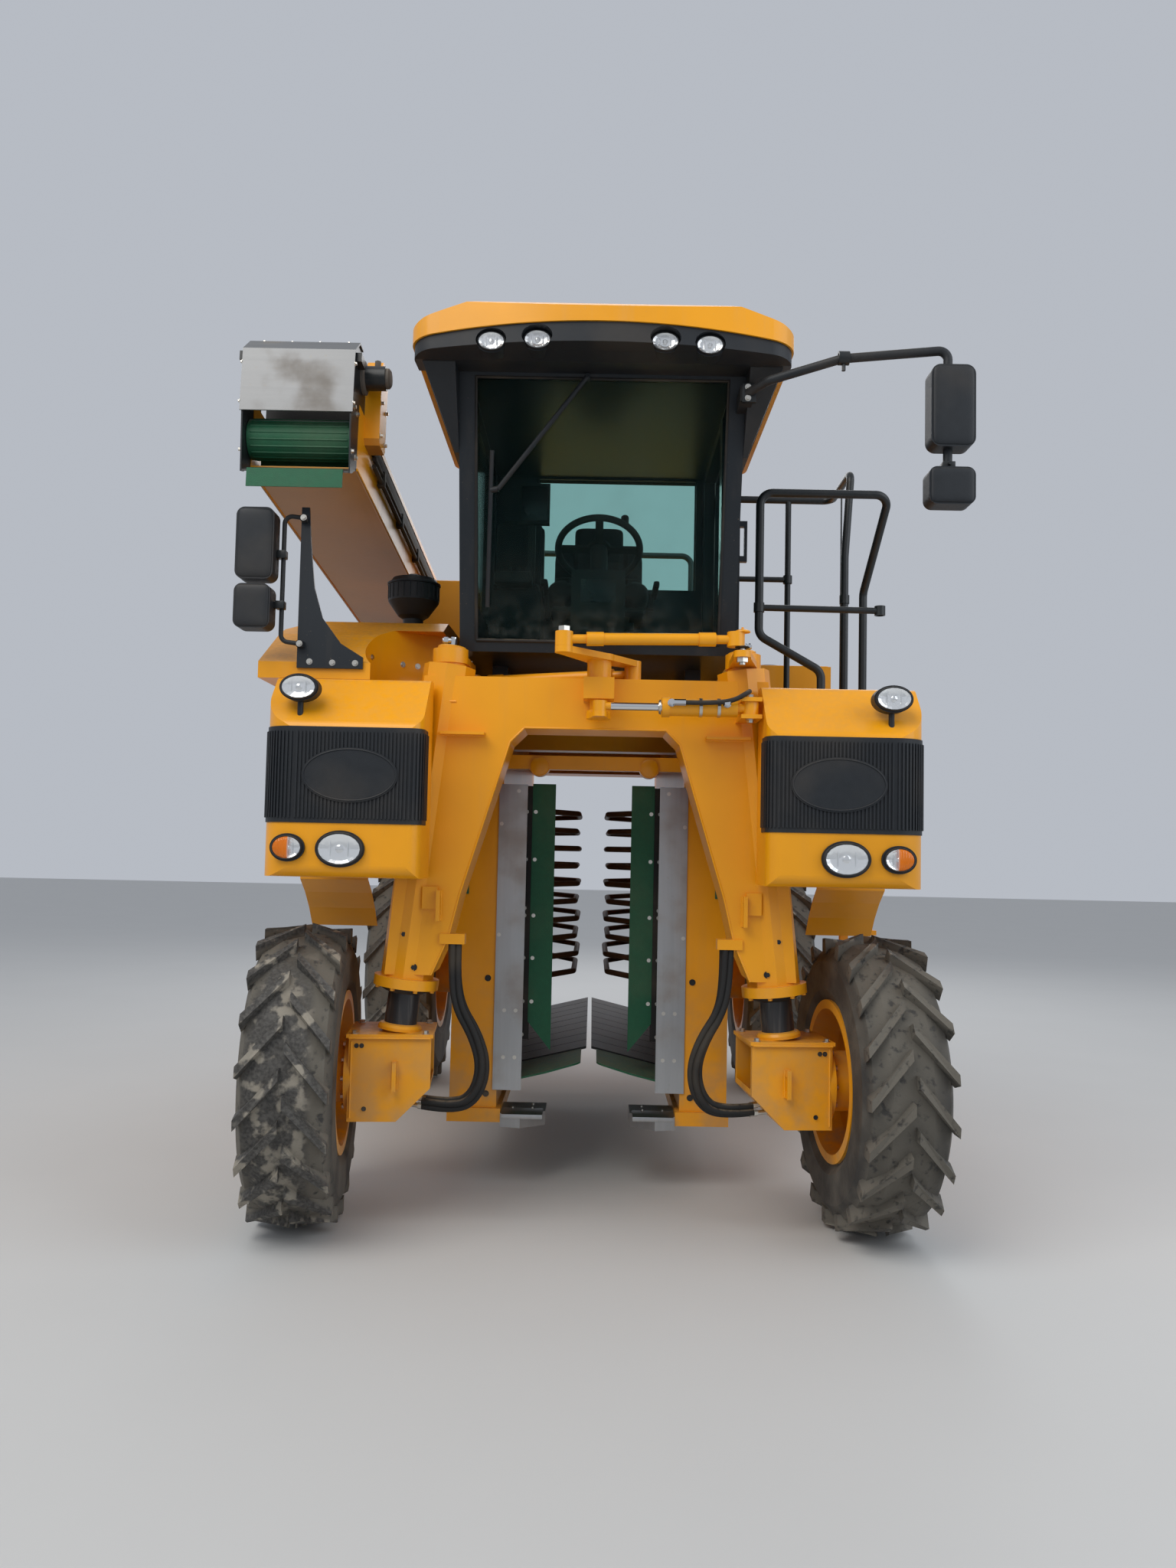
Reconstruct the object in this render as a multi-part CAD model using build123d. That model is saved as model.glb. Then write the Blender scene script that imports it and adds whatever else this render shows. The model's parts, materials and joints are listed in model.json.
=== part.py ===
"""Self-propelled grape harvester that straddles one row of vines.

Millimetres. Origin on the ground under the middle of the machine, +Z up, front towards -Y,
+X on the driver's left. Every solid is written at its place with the front wheels steered as
the machine was parked.
"""
import os
from functools import cache
from math import cos, hypot, radians, sin, tan

from build123d import *

# Running gear
FRONT_AXLE_Y = -2110.0
WHEELBASE = 3000.0
REAR_AXLE_Y = FRONT_AXLE_Y + WHEELBASE
FRONT_TRACK_HALF = 1140.0
REAR_TRACK_HALF = 1170.0
FRONT_TYRE_RADIUS = 594.0
FRONT_TYRE_WIDTH = 343.0
FRONT_RIM_RADIUS = 305.0
REAR_TYRE_RADIUS = 710.0
REAR_TYRE_WIDTH = 410.0
REAR_RIM_RADIUS = 356.0
LUG_HEIGHT = 38.0
LUGS_A_SIDE = 19
HUB_PIN_RADIUS = 40.0

# Steering
KINGPIN_Y = -2160.0
KINGPIN_X = 768.0
KINGPIN_REF_Z = 720.0
KINGPIN_TILT_DEG = 6.3
STEER_DEG = 5.0
STRUT_RADIUS = 65.0
ARM_END_X = 64.0
ARM_END_Y = 285.0
ARM_PLATE_Z = 2255.0
ARM_PLATE_THICK = 25.0
LEVER_X = 11.0
LEVER_Y = -2310.0
LEVER_LONG = (137.0, 190.0)
LEVER_SHORT = (137.0, 140.0)
LEVER_PLATE_Z = 2255.0
ROD_RADIUS = 23.0
EYE_RADIUS = 34.0
EYE_HEIGHT = 56.0
EYE_GAP_LEFT = 20.0
EYE_GAP_RIGHT = 17.0
RIGHT_ARM_LIFT = 15.0
CYLINDER_Z = 2067.0
BRACKET_Z = (2100.0, 2185.0)
CYLINDER_ARM = 90.0
CYLINDER_PIN_X = 600.0
CYLINDER_BARREL_RADIUS = 34.0
CYLINDER_ROD_RADIUS = 15.0

# Clearances
RUN = 0.1
SEAT = 0.3

# Portal and frame
PORTAL_FRONT_Y = -2250.0
PORTAL_BACK_Y = -1980.0
DECK_Z = 2195.0
TUNNEL_TOP_Z = 1990.0
LEG_RADIUS = 100.0
LEG_FOOT_Z = 945.0
BEAM_X = (430.0, 600.0)
BEAM_Z = (2010.0, DECK_Z)
REAR_FRAME_Y = (760.0, 1020.0)
REAR_END_Y = 2690.0
REAR_LEG_X = (645.0, 845.0)
REAR_LEG_FOOT_Z = 540.0
LASHING_THICK = 20.0
LASHING_X = sum(REAR_LEG_X) / 2
LASHING_Y = REAR_FRAME_Y[1] - LASHING_THICK / 2
LASHING_Z = REAR_LEG_FOOT_Z - 50
LASHING_HOLE_RADIUS = 20.0

# Picking head
HEAD_INNER_X = 410.0
HEAD_OUTER_X = 620.0
HEAD_FRONT_Y = -1600.0
HEAD_REAR_Y = 850.0
HEAD_BASE_Z = 290.0
HEAD_TOP_Z = 2010.0 - 0.3
ROD_ROWS = 10
CURTAIN_X = (176.0, 282.0)

# Front hoods
HOOD_X = (648.0, 1250.0)
HOOD_FRONT_Y = -2550.0
HOOD_REAR_Y = -1650.0
HOOD_BASE_Z = 1385.0
GRILLE_Z = (1588.0, 1950.0)
HOOD_TOP_Z = 2160.0
SHOULDER_Y = -2350.0
GRILLE_RIBS = 30
GRILLE_OVAL = (360.0, 206.0)
HOOD_CORNERS = (50.0, 120.0)

# Cab
CAB_FLOOR_Z = 2330.0
CAB_TOP_Z = 3450.0
CAB_HALF = 575.0
CAB_FRONT_BASE_Y = -2050.0
CAB_FRONT_TOP_Y = -2350.0
CAB_REAR_Y = -1000.0
CAB_WALL = 50.0
LEFT_WINDOW = [(-2000, 2560), (-2210, 3390), (-1090, 3390), (-1090, 2560)]
QUARTER_WINDOW = [(-2010, 2600), (-2215, 3390), (-1930, 3390), (-1930, 2600)]
GLASS = 6.0
DOOR_Y = (-1880.0, -1090.0)
DOOR_Z = (2390.0, 3400.0)
DOOR_THICK = 36.0
DOOR_AXIS_X = CAB_HALF + 2 + DOOR_THICK + 8
DOOR_AXIS_Y = DOOR_Y[1] + 14
HINGE_Z = (2520.0, 3200.0)
ROOF_HALF = 742.0
ROOF_Y = (-2640.0, -940.0)
ROOF_BASE_Z = 3490.0
ROOF_CREST_Z = 3625.0
ROOF_DROOP = 46.0
ROOF_BOW = 90.0
ROOF_CORNER = 120.0
REAR_WINDOW_X = (-310.0, 490.0)
REAR_WINDOW_Z = (2830.0, 3390.0)

# Discharge arm
ARM_X = -1175.0
ARM_HALF = 212.0
SLEW_Y = 1300.0
LIFT_Y = 1250.0
LIFT_Z = 2790.0
BOOM_PITCH_DEG = 4.5
BOOM_LENGTH = 3640.0
BOOM_DEPTH = 270.0
BOOM_WALL = 8.0
HEAD_PLATE_TOP = 400.0

# Rails and ladder
RAIL_RADIUS = 18.0
LADDER_X = (1235.0, 1275.0)
LADDER_Y = (-1440.0, -1060.0)
LADDER_TREADS = 6
LADDER_FOOT_Z = 560.0
LADDER_PITCH = 290.0


def block(x, y, z):
    """Box between a low and a high limit on each axis."""
    size = (x[1] - x[0], y[1] - y[0], z[1] - z[0])
    return Pos(x[0] + size[0] / 2, y[0] + size[1] / 2, z[0] + size[2] / 2) * Box(*size)


def prism(points, span, along):
    """Polygon pushed along one axis; the points hold the other two coordinates in order."""
    low, high = span
    place = {"X": lambda a, b: (low, a, b), "Y": lambda a, b: (a, low, b), "Z": lambda a, b: (a, b, low)}
    push = {"X": (1, 0, 0), "Y": (0, 1, 0), "Z": (0, 0, 1)}
    face = make_face(Polyline(*[place[along](a, b) for a, b in points], close=True))
    return extrude(face, amount=high - low, dir=push[along])


def rod(start, end, radius):
    """Round bar between two points."""
    axis = Vector(end) - Vector(start)
    plane = Plane(origin=start, z_dir=axis)
    return plane * Cylinder(radius, axis.length, align=(Align.CENTER, Align.CENTER, Align.MIN))


def ring(centre, axis, outer, inner, length):
    """Round boss with a bore, standing on its centre point."""
    start = Vector(centre)
    end = start + Vector(axis).normalized() * length
    over = Vector(axis).normalized() * 5
    return rod(start, end, outer) - rod(start - over, end + over, inner)


def tube(points, radius, bend):
    """Round tube along straight runs with rounded corners."""
    path = FilletPolyline(*points, radius=bend)
    return sweep(Plane(origin=path @ 0, z_dir=path % 0) * Circle(radius), path=path)


def flip(shape):
    """The same shape on the other side of the machine."""
    return mirror(shape, about=Plane.YZ)


def both(shape):
    """The shape and its mirror image."""
    return [shape, flip(shape)]


def fused(pieces):
    """One solid from pieces that overlap."""
    total = pieces[0]
    for piece in pieces[1:]:
        total = total + piece
    return total


def oval(x, z, width, height, y0, y1):
    """Upright oval slab facing the front."""
    face = Plane(origin=(x, y0, z), x_dir=(1, 0, 0), z_dir=(0, 1, 0)) * Ellipse(width / 2, height / 2)
    return extrude(face, amount=y1 - y0)


# Kingpins and the turned rest pose
def kingpin_point(side, z):
    return Vector(side * (KINGPIN_X - (z - KINGPIN_REF_Z) * tan(radians(KINGPIN_TILT_DEG))), KINGPIN_Y, z)


def kingpin_axis(side):
    foot = kingpin_point(side, KINGPIN_REF_Z)
    return Axis(foot, kingpin_point(side, KINGPIN_REF_Z + 1000) - foot)


def steered(shape, side):
    return shape.rotate(kingpin_axis(side), STEER_DEG)


def hub_point(side):
    return Vector(side * FRONT_TRACK_HALF, FRONT_AXLE_Y, FRONT_TYRE_RADIUS)


# Wheels
def lug(radius, width, height, angle, side):
    """One bar of the tread, from near the middle line out to the shoulder, as a block of eight corners."""
    inner_x, outer_x = side * 8, side * (width / 2 - 6)
    lead = 18.0
    corners = []
    stations = [(inner_x, angle, radius, 0.0), (outer_x, angle + lead, radius - 20, 10.0)]
    for x, turn, top, extra in stations:
        for r, half in ((top - height - 14 - extra, 2.9), (top, 2.0)):
            for sign in (-1, 1):
                a = radians(turn + sign * half)
                corners.append(Vector(x, r * cos(a), r * sin(a)))
    quads = [(0, 1, 3, 2), (4, 6, 7, 5), (0, 2, 6, 4), (1, 5, 7, 3), (2, 3, 7, 6), (0, 4, 5, 1)]
    faces = []
    for a, b, c, d in quads:
        for trio in ((a, b, c), (a, c, d)):
            faces.append(Face(Wire.make_polygon([corners[i] for i in trio], close=True)))
    solid = Solid(Shell(faces))
    return solid


def tyre(radius, width, rim_radius):
    """Carcass with lugs, axle along X through the origin."""
    crown = radius - LUG_HEIGHT
    half = width / 2
    profile = [
        (-half + 22, rim_radius - 4),
        (-half + 22, rim_radius + 24),
        (-half, rim_radius + 60),
        (-half, crown - 75),
        (-half + 26, crown - 26),
        (-half * 0.45, crown - 3),
        (half * 0.45, crown - 3),
        (half - 26, crown - 26),
        (half, crown - 75),
        (half, rim_radius + 60),
        (half - 22, rim_radius + 24),
        (half - 22, rim_radius - 4),
    ]
    face = make_face(Polyline(*[(x, r, 0) for x, r in profile], close=True))
    body = revolve(face, Axis.X, 360)
    lugs = []
    step = 360 / LUGS_A_SIDE
    for index in range(LUGS_A_SIDE):
        lugs.append(lug(radius, width, LUG_HEIGHT, index * step, 1))
        lugs.append(lug(radius, width, LUG_HEIGHT, (index + 0.5) * step, -1))
    return body.fuse(*lugs)


def rim(tyre_width, radius, disc_x, bore):
    """Dished rim, axle along X, outer face towards +X."""
    half = tyre_width / 2 - 22
    outer = radius - 4 - SEAT
    barrel = [
        (-half - 12, outer + 24),
        (-half, outer + 24),
        (-half, outer),
        (half, outer),
        (half, outer + 24),
        (half + 12, outer + 24),
        (half + 12, outer - 12),
        (50, outer - 40),
        (-50, outer - 40),
        (-half - 12, outer - 12),
    ]
    shell = revolve(make_face(Polyline(*[(x, r, 0) for x, r in barrel], close=True)), Axis.X, 360)
    disc = [
        (disc_x, bore),
        (disc_x + 16, bore),
        (disc_x + 16, 150),
        (disc_x + 36, outer - 60),
        (disc_x + 36, outer - 20),
        (disc_x + 20, outer - 20),
        (disc_x + 20, outer - 60),
        (disc_x, 150),
    ]
    plate = revolve(make_face(Polyline(*[(x, r, 0) for x, r in disc], close=True)), Axis.X, 360)
    return shell + plate


FRONT_DISC_X = 10.0
REAR_DISC_X = -10.0


def front_wheel(side):
    """Tyre and rim of one steered wheel."""
    move = Pos(*hub_point(side))
    pieces = [tyre(FRONT_TYRE_RADIUS, FRONT_TYRE_WIDTH, FRONT_RIM_RADIUS)]
    pieces.append(rim(FRONT_TYRE_WIDTH, FRONT_RIM_RADIUS, FRONT_DISC_X, HUB_PIN_RADIUS + RUN))
    if side < 0:
        pieces = [flip(piece) for piece in pieces]
    return [steered(move * piece, side) for piece in pieces]


def rear_wheel(side):
    """Tyre and rim of one rear wheel."""
    move = Pos(side * REAR_TRACK_HALF, REAR_AXLE_Y, REAR_TYRE_RADIUS)
    pieces = [tyre(REAR_TYRE_RADIUS, REAR_TYRE_WIDTH, REAR_RIM_RADIUS)]
    pieces.append(rim(REAR_TYRE_WIDTH, REAR_RIM_RADIUS, REAR_DISC_X, HUB_PIN_RADIUS + RUN))
    if side < 0:
        pieces = [flip(piece) for piece in pieces]
    return [move * piece for piece in pieces]


# Knuckles
def knuckle(side):
    """Strut, wheel-motor box, hub and top arm, built straight for the +X side, then turned."""
    front_y, back_y = -2270, -1960
    box_points = [(630, 560), (630, 770), (950, 770), (950, 430), (760, 430)]
    pocket_points = [(620, 590), (620, 745), (860, 745), (860, 470), (773, 470)]
    motor_box = prism(box_points, (front_y, back_y), "Y")
    motor_box = motor_box - prism(pocket_points, (front_y + 25, back_y - 25), "Y")
    lid = block((622, 960), (front_y - 8, back_y + 8), (756, 770))
    loop = lifting_loop(769, front_y, (555, 665))
    strut = rod(kingpin_point(1, 745), kingpin_point(1, ARM_PLATE_Z + 5), STRUT_RADIUS)
    hub = hub_point(1)
    disc_face = hub.X + FRONT_DISC_X - SEAT
    flange = rod((940, hub.Y, hub.Z), (968, hub.Y, hub.Z), 165)
    nave = rod((960, hub.Y, hub.Z), (disc_face, hub.Y, hub.Z), 120)
    pin = rod((1100, hub.Y, hub.Z), (disc_face + 40, hub.Y, hub.Z), HUB_PIN_RADIUS)
    top = kingpin_point(1, ARM_PLATE_Z)
    boss = rod(top, (top.X, top.Y, ARM_PLATE_Z + 60), 72)
    if side > 0:
        end = (top.X - ARM_END_X, top.Y - ARM_END_Y)
    else:
        end = (top.X - ARM_END_X, top.Y + ARM_END_Y)
    lift = 0 if side > 0 else RIGHT_ARM_LIFT
    low, high = ARM_PLATE_Z + lift, ARM_PLATE_Z + lift + ARM_PLATE_THICK
    arm = prism(arm_outline(top, end, 62, EYE_RADIUS), (low, high), "Z")
    arm_tip = rod((*end, low), (*end, high), EYE_RADIUS)
    body = fused([motor_box, lid, loop, strut, flange, nave, pin, boss, arm, arm_tip])
    if side < 0:
        body = flip(body)
    return steered(body, side)


def lifting_loop(x, face_y, z):
    """Upright slotted lug on a front face."""
    plate = block((x - 8, x + 8), (face_y - 42, face_y + 5), z)
    return plate - block((x - 10, x + 10), (face_y - 28, face_y - 5), (z[0] + 26, z[1] - 26))


def arm_outline(start, end, start_half, end_half):
    """Tapered bar seen from above."""
    dx, dy = end[0] - start.X, end[1] - start.Y
    length = hypot(dx, dy)
    nx, ny = -dy / length, dx / length
    return [
        (start.X + nx * start_half, start.Y + ny * start_half),
        (end[0] + nx * end_half * 0.9, end[1] + ny * end_half * 0.9),
        (end[0] - nx * end_half * 0.9, end[1] - ny * end_half * 0.9),
        (start.X - nx * start_half, start.Y - ny * start_half),
    ]


def arm_end(side):
    """Where the tie rod meets a top arm, at rest and seen from above."""
    top = kingpin_point(1, ARM_PLATE_Z)
    x = top.X - ARM_END_X
    y = top.Y - ARM_END_Y if side > 0 else top.Y + ARM_END_Y
    point = Vertex(side * x, y, ARM_PLATE_Z)
    turned = point.rotate(kingpin_axis(side), STEER_DEG)
    return turned.X, turned.Y


# Steering linkage
UPPER_EYE_Z = LEVER_PLATE_Z + ARM_PLATE_THICK + SEAT
LOWER_EYE_Z = LEVER_PLATE_Z - SEAT - EYE_HEIGHT
FAR_UPPER_Z = UPPER_EYE_Z + EYE_GAP_LEFT
FAR_LOWER_Z = ARM_PLATE_Z + RIGHT_ARM_LIFT - EYE_GAP_RIGHT - EYE_HEIGHT
LEVER_A = (LEVER_X - LEVER_LONG[0], LEVER_Y - LEVER_LONG[1])
LEVER_B = (LEVER_X + LEVER_SHORT[0], LEVER_Y + LEVER_SHORT[1])


def lever():
    """Central lever on its column, with a lower arm for the cylinder."""
    z0, z1 = LEVER_PLATE_Z, LEVER_PLATE_Z + ARM_PLATE_THICK
    centre = Vector(LEVER_X, LEVER_Y, 0)
    pieces = [rod((LEVER_X, LEVER_Y, 2040), (LEVER_X, LEVER_Y, z1), 35)]
    pieces.append(rod((LEVER_X, LEVER_Y, z0), (LEVER_X, LEVER_Y, z1), 62))
    pieces.append(rod((LEVER_X, LEVER_Y, BRACKET_Z[1] + SEAT), (LEVER_X, LEVER_Y, z0 + 2), 48))
    for end in (LEVER_A, LEVER_B):
        pieces.append(prism(arm_outline(centre, end, 60, EYE_RADIUS), (z0, z1), "Z"))
        pieces.append(rod((end[0], end[1], z0), (end[0], end[1], z1), EYE_RADIUS))
    pieces.append(rod((*LEVER_A, z0), (*LEVER_A, UPPER_EYE_Z + EYE_HEIGHT + 14), 12))
    pieces.append(rod((*LEVER_B, LOWER_EYE_Z - 2), (*LEVER_B, z1), 12))
    eye = (LEVER_X + 4, LEVER_Y - CYLINDER_ARM)
    crank = prism(arm_outline(centre, eye, 45, 28), (CYLINDER_Z - 42, CYLINDER_Z - 22), "Z")
    pieces += [crank, rod((*eye, CYLINDER_Z - 42), (*eye, CYLINDER_Z - 22), 28)]
    pieces.append(rod((LEVER_X, LEVER_Y, CYLINDER_Z - 42), (LEVER_X, LEVER_Y, CYLINDER_Z - 10), 48))
    return fused(pieces)


def tie_rod(start, start_z, end, end_z):
    """Rod with an eye at each end; the first eye turns on the lever's pin."""
    mid = EYE_HEIGHT / 2
    first = ring((*start, start_z), (0, 0, 1), EYE_RADIUS, 12 + RUN, EYE_HEIGHT)
    last = rod((*end, end_z), (*end, end_z + EYE_HEIGHT), EYE_RADIUS)
    run = Vector(end[0] - start[0], end[1] - start[1], end_z - start_z)
    unit = run.normalized()
    a = Vector(*start, start_z + mid) + unit * 26
    b = Vector(*end, end_z + mid) - unit * 20
    collar_a = rod(a + unit * 60, a + unit * 125, ROD_RADIUS + 4)
    collar_b = rod(b - unit * 125, b - unit * 60, ROD_RADIUS + 4)
    bar = rod(a, b, ROD_RADIUS * 0.75)
    shank = rod(a + unit * 90, b - unit * 90, ROD_RADIUS)
    return fused([first, last, bar, shank, collar_a, collar_b])


def steering_barrel():
    """Cylinder barrel with its eye on the bracket by the leg."""
    y = LEVER_Y - CYLINDER_ARM
    barrel = rod((268, y, CYLINDER_Z), (CYLINDER_PIN_X - 52, y, CYLINDER_Z), CYLINDER_BARREL_RADIUS)
    barrel = barrel + rod((CYLINDER_PIN_X - 60, y, CYLINDER_Z), (CYLINDER_PIN_X, y, CYLINDER_Z), 20)
    bore_end = (CYLINDER_PIN_X - 80, y, CYLINDER_Z)
    barrel = barrel - rod((200, y, CYLINDER_Z), bore_end, CYLINDER_ROD_RADIUS + RUN)
    eye = rod((CYLINDER_PIN_X, y, CYLINDER_Z - 25), (CYLINDER_PIN_X, y, CYLINDER_Z + 25), 32)
    gland = ring((256, y, CYLINDER_Z), (1, 0, 0), CYLINDER_BARREL_RADIUS + 5, CYLINDER_ROD_RADIUS + RUN, 30)
    return fused([barrel, eye, gland])


def steering_rod():
    """Polished rod with its eye beside the lever's lower arm."""
    y = LEVER_Y - CYLINDER_ARM
    x = LEVER_X + 4
    eye = rod((x, y, CYLINDER_Z - 22 + SEAT), (x, y, CYLINDER_Z + 20), 27)
    return eye + rod((x + 15, y, CYLINDER_Z), (440, y, CYLINDER_Z), CYLINDER_ROD_RADIUS)


# Portal
def portal():
    """A-shaped front frame with its steering legs, brackets and tabs."""
    half = [(0, DECK_Z), (690, DECK_Z), (790, 1300), (815, 1000), (632, 1000), (567, 1150), (527, 1320)]
    half += [(340, 1935), (285, TUNNEL_TOP_Z), (0, TUNNEL_TOP_Z)]
    outline = half + [(-x, z) for x, z in reversed(half[1:-1])]
    pieces = [prism(outline, (PORTAL_FRONT_Y, PORTAL_BACK_Y), "Y")]
    for side in (-1, 1):
        foot, head = kingpin_point(side, LEG_FOOT_Z), kingpin_point(side, DECK_Z + 50)
        axis = head - foot
        leg = Plane(origin=foot, z_dir=axis) * extrude(RegularPolygon(LEG_RADIUS + 6, 8), amount=axis.length)
        pieces.append(leg)
        pieces.append(rod(foot, foot + axis.normalized() * 40, LEG_RADIUS + 30))
        inner, outer = sorted((side * 440, side * 615))
        pieces.append(block((inner, outer), (PORTAL_FRONT_Y - 60, PORTAL_FRONT_Y + 5), (1955, 1967)))
        pad = block((612, 672), (PORTAL_FRONT_Y - 16, PORTAL_FRONT_Y + 5), (1262, 1350))
        loop = lifting_loop(606, PORTAL_FRONT_Y, (1216, 1337)) + pad
        pieces.append(loop if side > 0 else flip(loop))
        inner, outer = sorted((side * 500, side * 600))
        clamp_y = (HOSE_TOP[1] - HOSE_RADIUS, HOSE_TOP[1] + HOSE_RADIUS)
        pieces.append(block((inner, outer), clamp_y, (HOSE_TOP[2], HOSE_TOP[2] + 40)))
    total = fused(pieces)
    for side in (-1, 1):
        total = total - rod(kingpin_point(side, 800), kingpin_point(side, 2400), STRUT_RADIUS + SEAT)
    bracket = block((LEVER_X - 60, LEVER_X + 60), (LEVER_Y - 60, PORTAL_FRONT_Y + 5), BRACKET_Z)
    total = total + bracket
    total = total - rod((LEVER_X, LEVER_Y, 1995), (LEVER_X, LEVER_Y, 2300), 35 + RUN)
    y = LEVER_Y - CYLINDER_ARM
    for z in (CYLINDER_Z - 25 - SEAT - 16, CYLINDER_Z + 25 + SEAT):
        tab_x = (CYLINDER_PIN_X - 40, CYLINDER_PIN_X + 40)
        total = total + block(tab_x, (y - 40, PORTAL_FRONT_Y + 5), (z, z + 16))
    return [total]


# Main frame
def main_frame():
    """Long beams, rear portal, rear legs and axle stubs."""
    pieces = [block(BEAM_X, (PORTAL_BACK_Y, REAR_FRAME_Y[1]), BEAM_Z)]
    pieces.append(flip(pieces[0]))
    pieces.append(block((-REAR_LEG_X[1], REAR_LEG_X[1]), REAR_FRAME_Y, BEAM_Z))
    pieces.append(block((-BEAM_X[1], BEAM_X[1]), (-1000, -880), BEAM_Z))
    pieces.append(block((-500, 500), (-1660, -1560), (2060, DECK_Z)))
    hub_z = REAR_TYRE_RADIUS
    stub_end = REAR_TRACK_HALF + REAR_DISC_X - SEAT
    for side in (-1, 1):
        def span(a, b):
            return tuple(sorted((side * a, side * b)))
        pieces.append(block(span(*REAR_LEG_X), REAR_FRAME_Y, (REAR_LEG_FOOT_Z, BEAM_Z[1])))
        pieces.append(block(span(*REAR_LEG_X), (REAR_FRAME_Y[0], REAR_END_Y), (2050, DECK_Z)))
        pieces.append(rod((side * 800, REAR_AXLE_Y, hub_z), (side * stub_end, REAR_AXLE_Y, hub_z), 150))
        pin_end = stub_end + 40
        pin_foot, pin_tip = (side * 900, REAR_AXLE_Y, hub_z), (side * pin_end, REAR_AXLE_Y, hub_z)
        pieces.append(rod(pin_foot, pin_tip, HUB_PIN_RADIUS))
        for y in (-1560, -700, 300):
            pieces.append(block(span(BEAM_X[1] - 5, 648), (y - 40, y + 40), (2060, 2140)))
        pieces.append(lashing_plate(side * LASHING_X))
    pieces.append(block((-REAR_LEG_X[1], REAR_LEG_X[1]), (1720, REAR_END_Y), (DECK_Z - 45, DECK_Z)))
    return [fused(pieces)]


def lashing_plate(x):
    """Plate with a hole, hanging from the foot of a rear leg."""
    half = 45
    y = (REAR_FRAME_Y[1] - LASHING_THICK, REAR_FRAME_Y[1])
    plate = block((x - half, x + half), y, (LASHING_Z - half, REAR_LEG_FOOT_Z + 5))
    return plate - rod((x, y[0] - 5, LASHING_Z), (x, y[1] + 5, LASHING_Z), LASHING_HOLE_RADIUS)


# Picking head
def head_walls():
    """Two walls with skids, each one body of sheet steel, and the bar between them at the mouth."""
    wall = block((HEAD_INNER_X, HEAD_OUTER_X), (HEAD_FRONT_Y, HEAD_REAR_Y), (HEAD_BASE_Z + 50, HEAD_TOP_Z))
    front = HEAD_FRONT_Y - 20
    skid_points = [(390, front), (HEAD_OUTER_X + 8, front), (HEAD_OUTER_X + 8, 800), (390, 800)]
    skid = prism(skid_points, (HEAD_BASE_Z, HEAD_BASE_Z + 60), "Z")
    reach = HEAD_INNER_X - SEAT
    bar = block((-reach, reach), (-1590, -1530), (1872, 1935))
    for x in (-250, 250):
        bar = bar + rod((x, -1598, 1886), (x, -1522, 1886), 46)
    return both(wall + skid) + [bar]


def head_steel():
    """Bare steel corner plates and toe plates."""
    y = HEAD_FRONT_Y
    corner = [(300, y - 8), (428, y - 8), (428, y - SEAT), (404, y - SEAT)]
    corner += [(404, y + 180), (396, y + 180), (396, y), (300, y)]
    plate = prism(corner, (430, 1800), "Z")
    plate = plate + block((400, HEAD_INNER_X - SEAT), (HEAD_FRONT_Y + 20, HEAD_FRONT_Y + 170), (700, 1700))
    outer = 390 - SEAT
    toe_points = [(outer, -1619), (300, -1640), (190, -1560), (190, -1380), (outer, -1380)]
    toe = prism(toe_points, (HEAD_BASE_Z - 20, HEAD_BASE_Z + 40), "Z")
    return both(plate) + both(toe)


def curtains():
    """Green upright curtains at the mouth and the two small tags outside."""
    points = [(CURTAIN_X[0], 1810), (CURTAIN_X[1], 1810), (CURTAIN_X[1], 720), (CURTAIN_X[0], 590)]
    sheet = prism(points, (-1500, -1490), "Y")
    stay = block((CURTAIN_X[1] - 10, 404 - SEAT - 8), (-1490, -1482), (1690, 1790))
    return both(sheet + stay)


def shaker_rods():
    """Bow-shaped rods, fanned one above the other on an upright carrier each side."""
    pieces = []
    for row in range(ROD_ROWS):
        z = 900 + row * 88
        reach = 175 - 10 * (row % 2)
        points = [(398, -1250, z), (230, -1230, z), (reach - 90, -950, z)]
        points += [(reach - 90, -350, z), (230, -60, z), (398, -30, z)]
        pieces.append(tube(points, 14, 90))
    carriers = [rod((390, y, 884), (390, y, 1760), 19.5) for y in (-1250, -30)]
    total = fused(pieces + carriers)
    return both(total)


def floor_z(x):
    """Height of the catching floor, which falls outwards from the middle."""
    return 548 - (x - 12) * 0.24


def floor_strip(x0, x1, thick, y):
    """Sheet that lies on the slope of the catching floor."""
    points = [(x0, floor_z(x0)), (x1, floor_z(x1)), (x1, floor_z(x1) + thick), (x0, floor_z(x0) + thick)]
    return prism(points, y, "Y")


def catcher_plates():
    """Green lips at the front of the catching floor, with rounded tips."""
    outer = 396 - SEAT
    span = (HEAD_FRONT_Y + 2, -1180)
    outline = [(outer, span[1], 0), (outer, span[0], 0), (190, span[0], 0), (36, -1548, 0), (36, span[1], 0)]
    tip = make_face(Polyline(*outline, close=True))
    tip = fillet(tip.vertices().filter_by(lambda v: v.X < 200 and v.Y < -1500), radius=45)
    plan = extrude(tip, amount=700, dir=(0, 0, 1))
    slab = floor_strip(20, 400, 8, span)
    return both(slab & plan)


def scale_plates():
    """Black overlapping scales along the floor and the dark inner side panels."""
    pieces = []
    outer = HEAD_INNER_X - SEAT
    for index in range(9):
        y = -1160 + index * 215
        pieces.append(floor_strip(12, outer, 12, (y, y + 205)))
    floor = fused(pieces + [floor_strip(380, outer, 12, (-1160, 770))])
    panel = block((400, HEAD_INNER_X - SEAT), (-1400, 800), (640, 880))
    return both(floor + panel)


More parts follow.
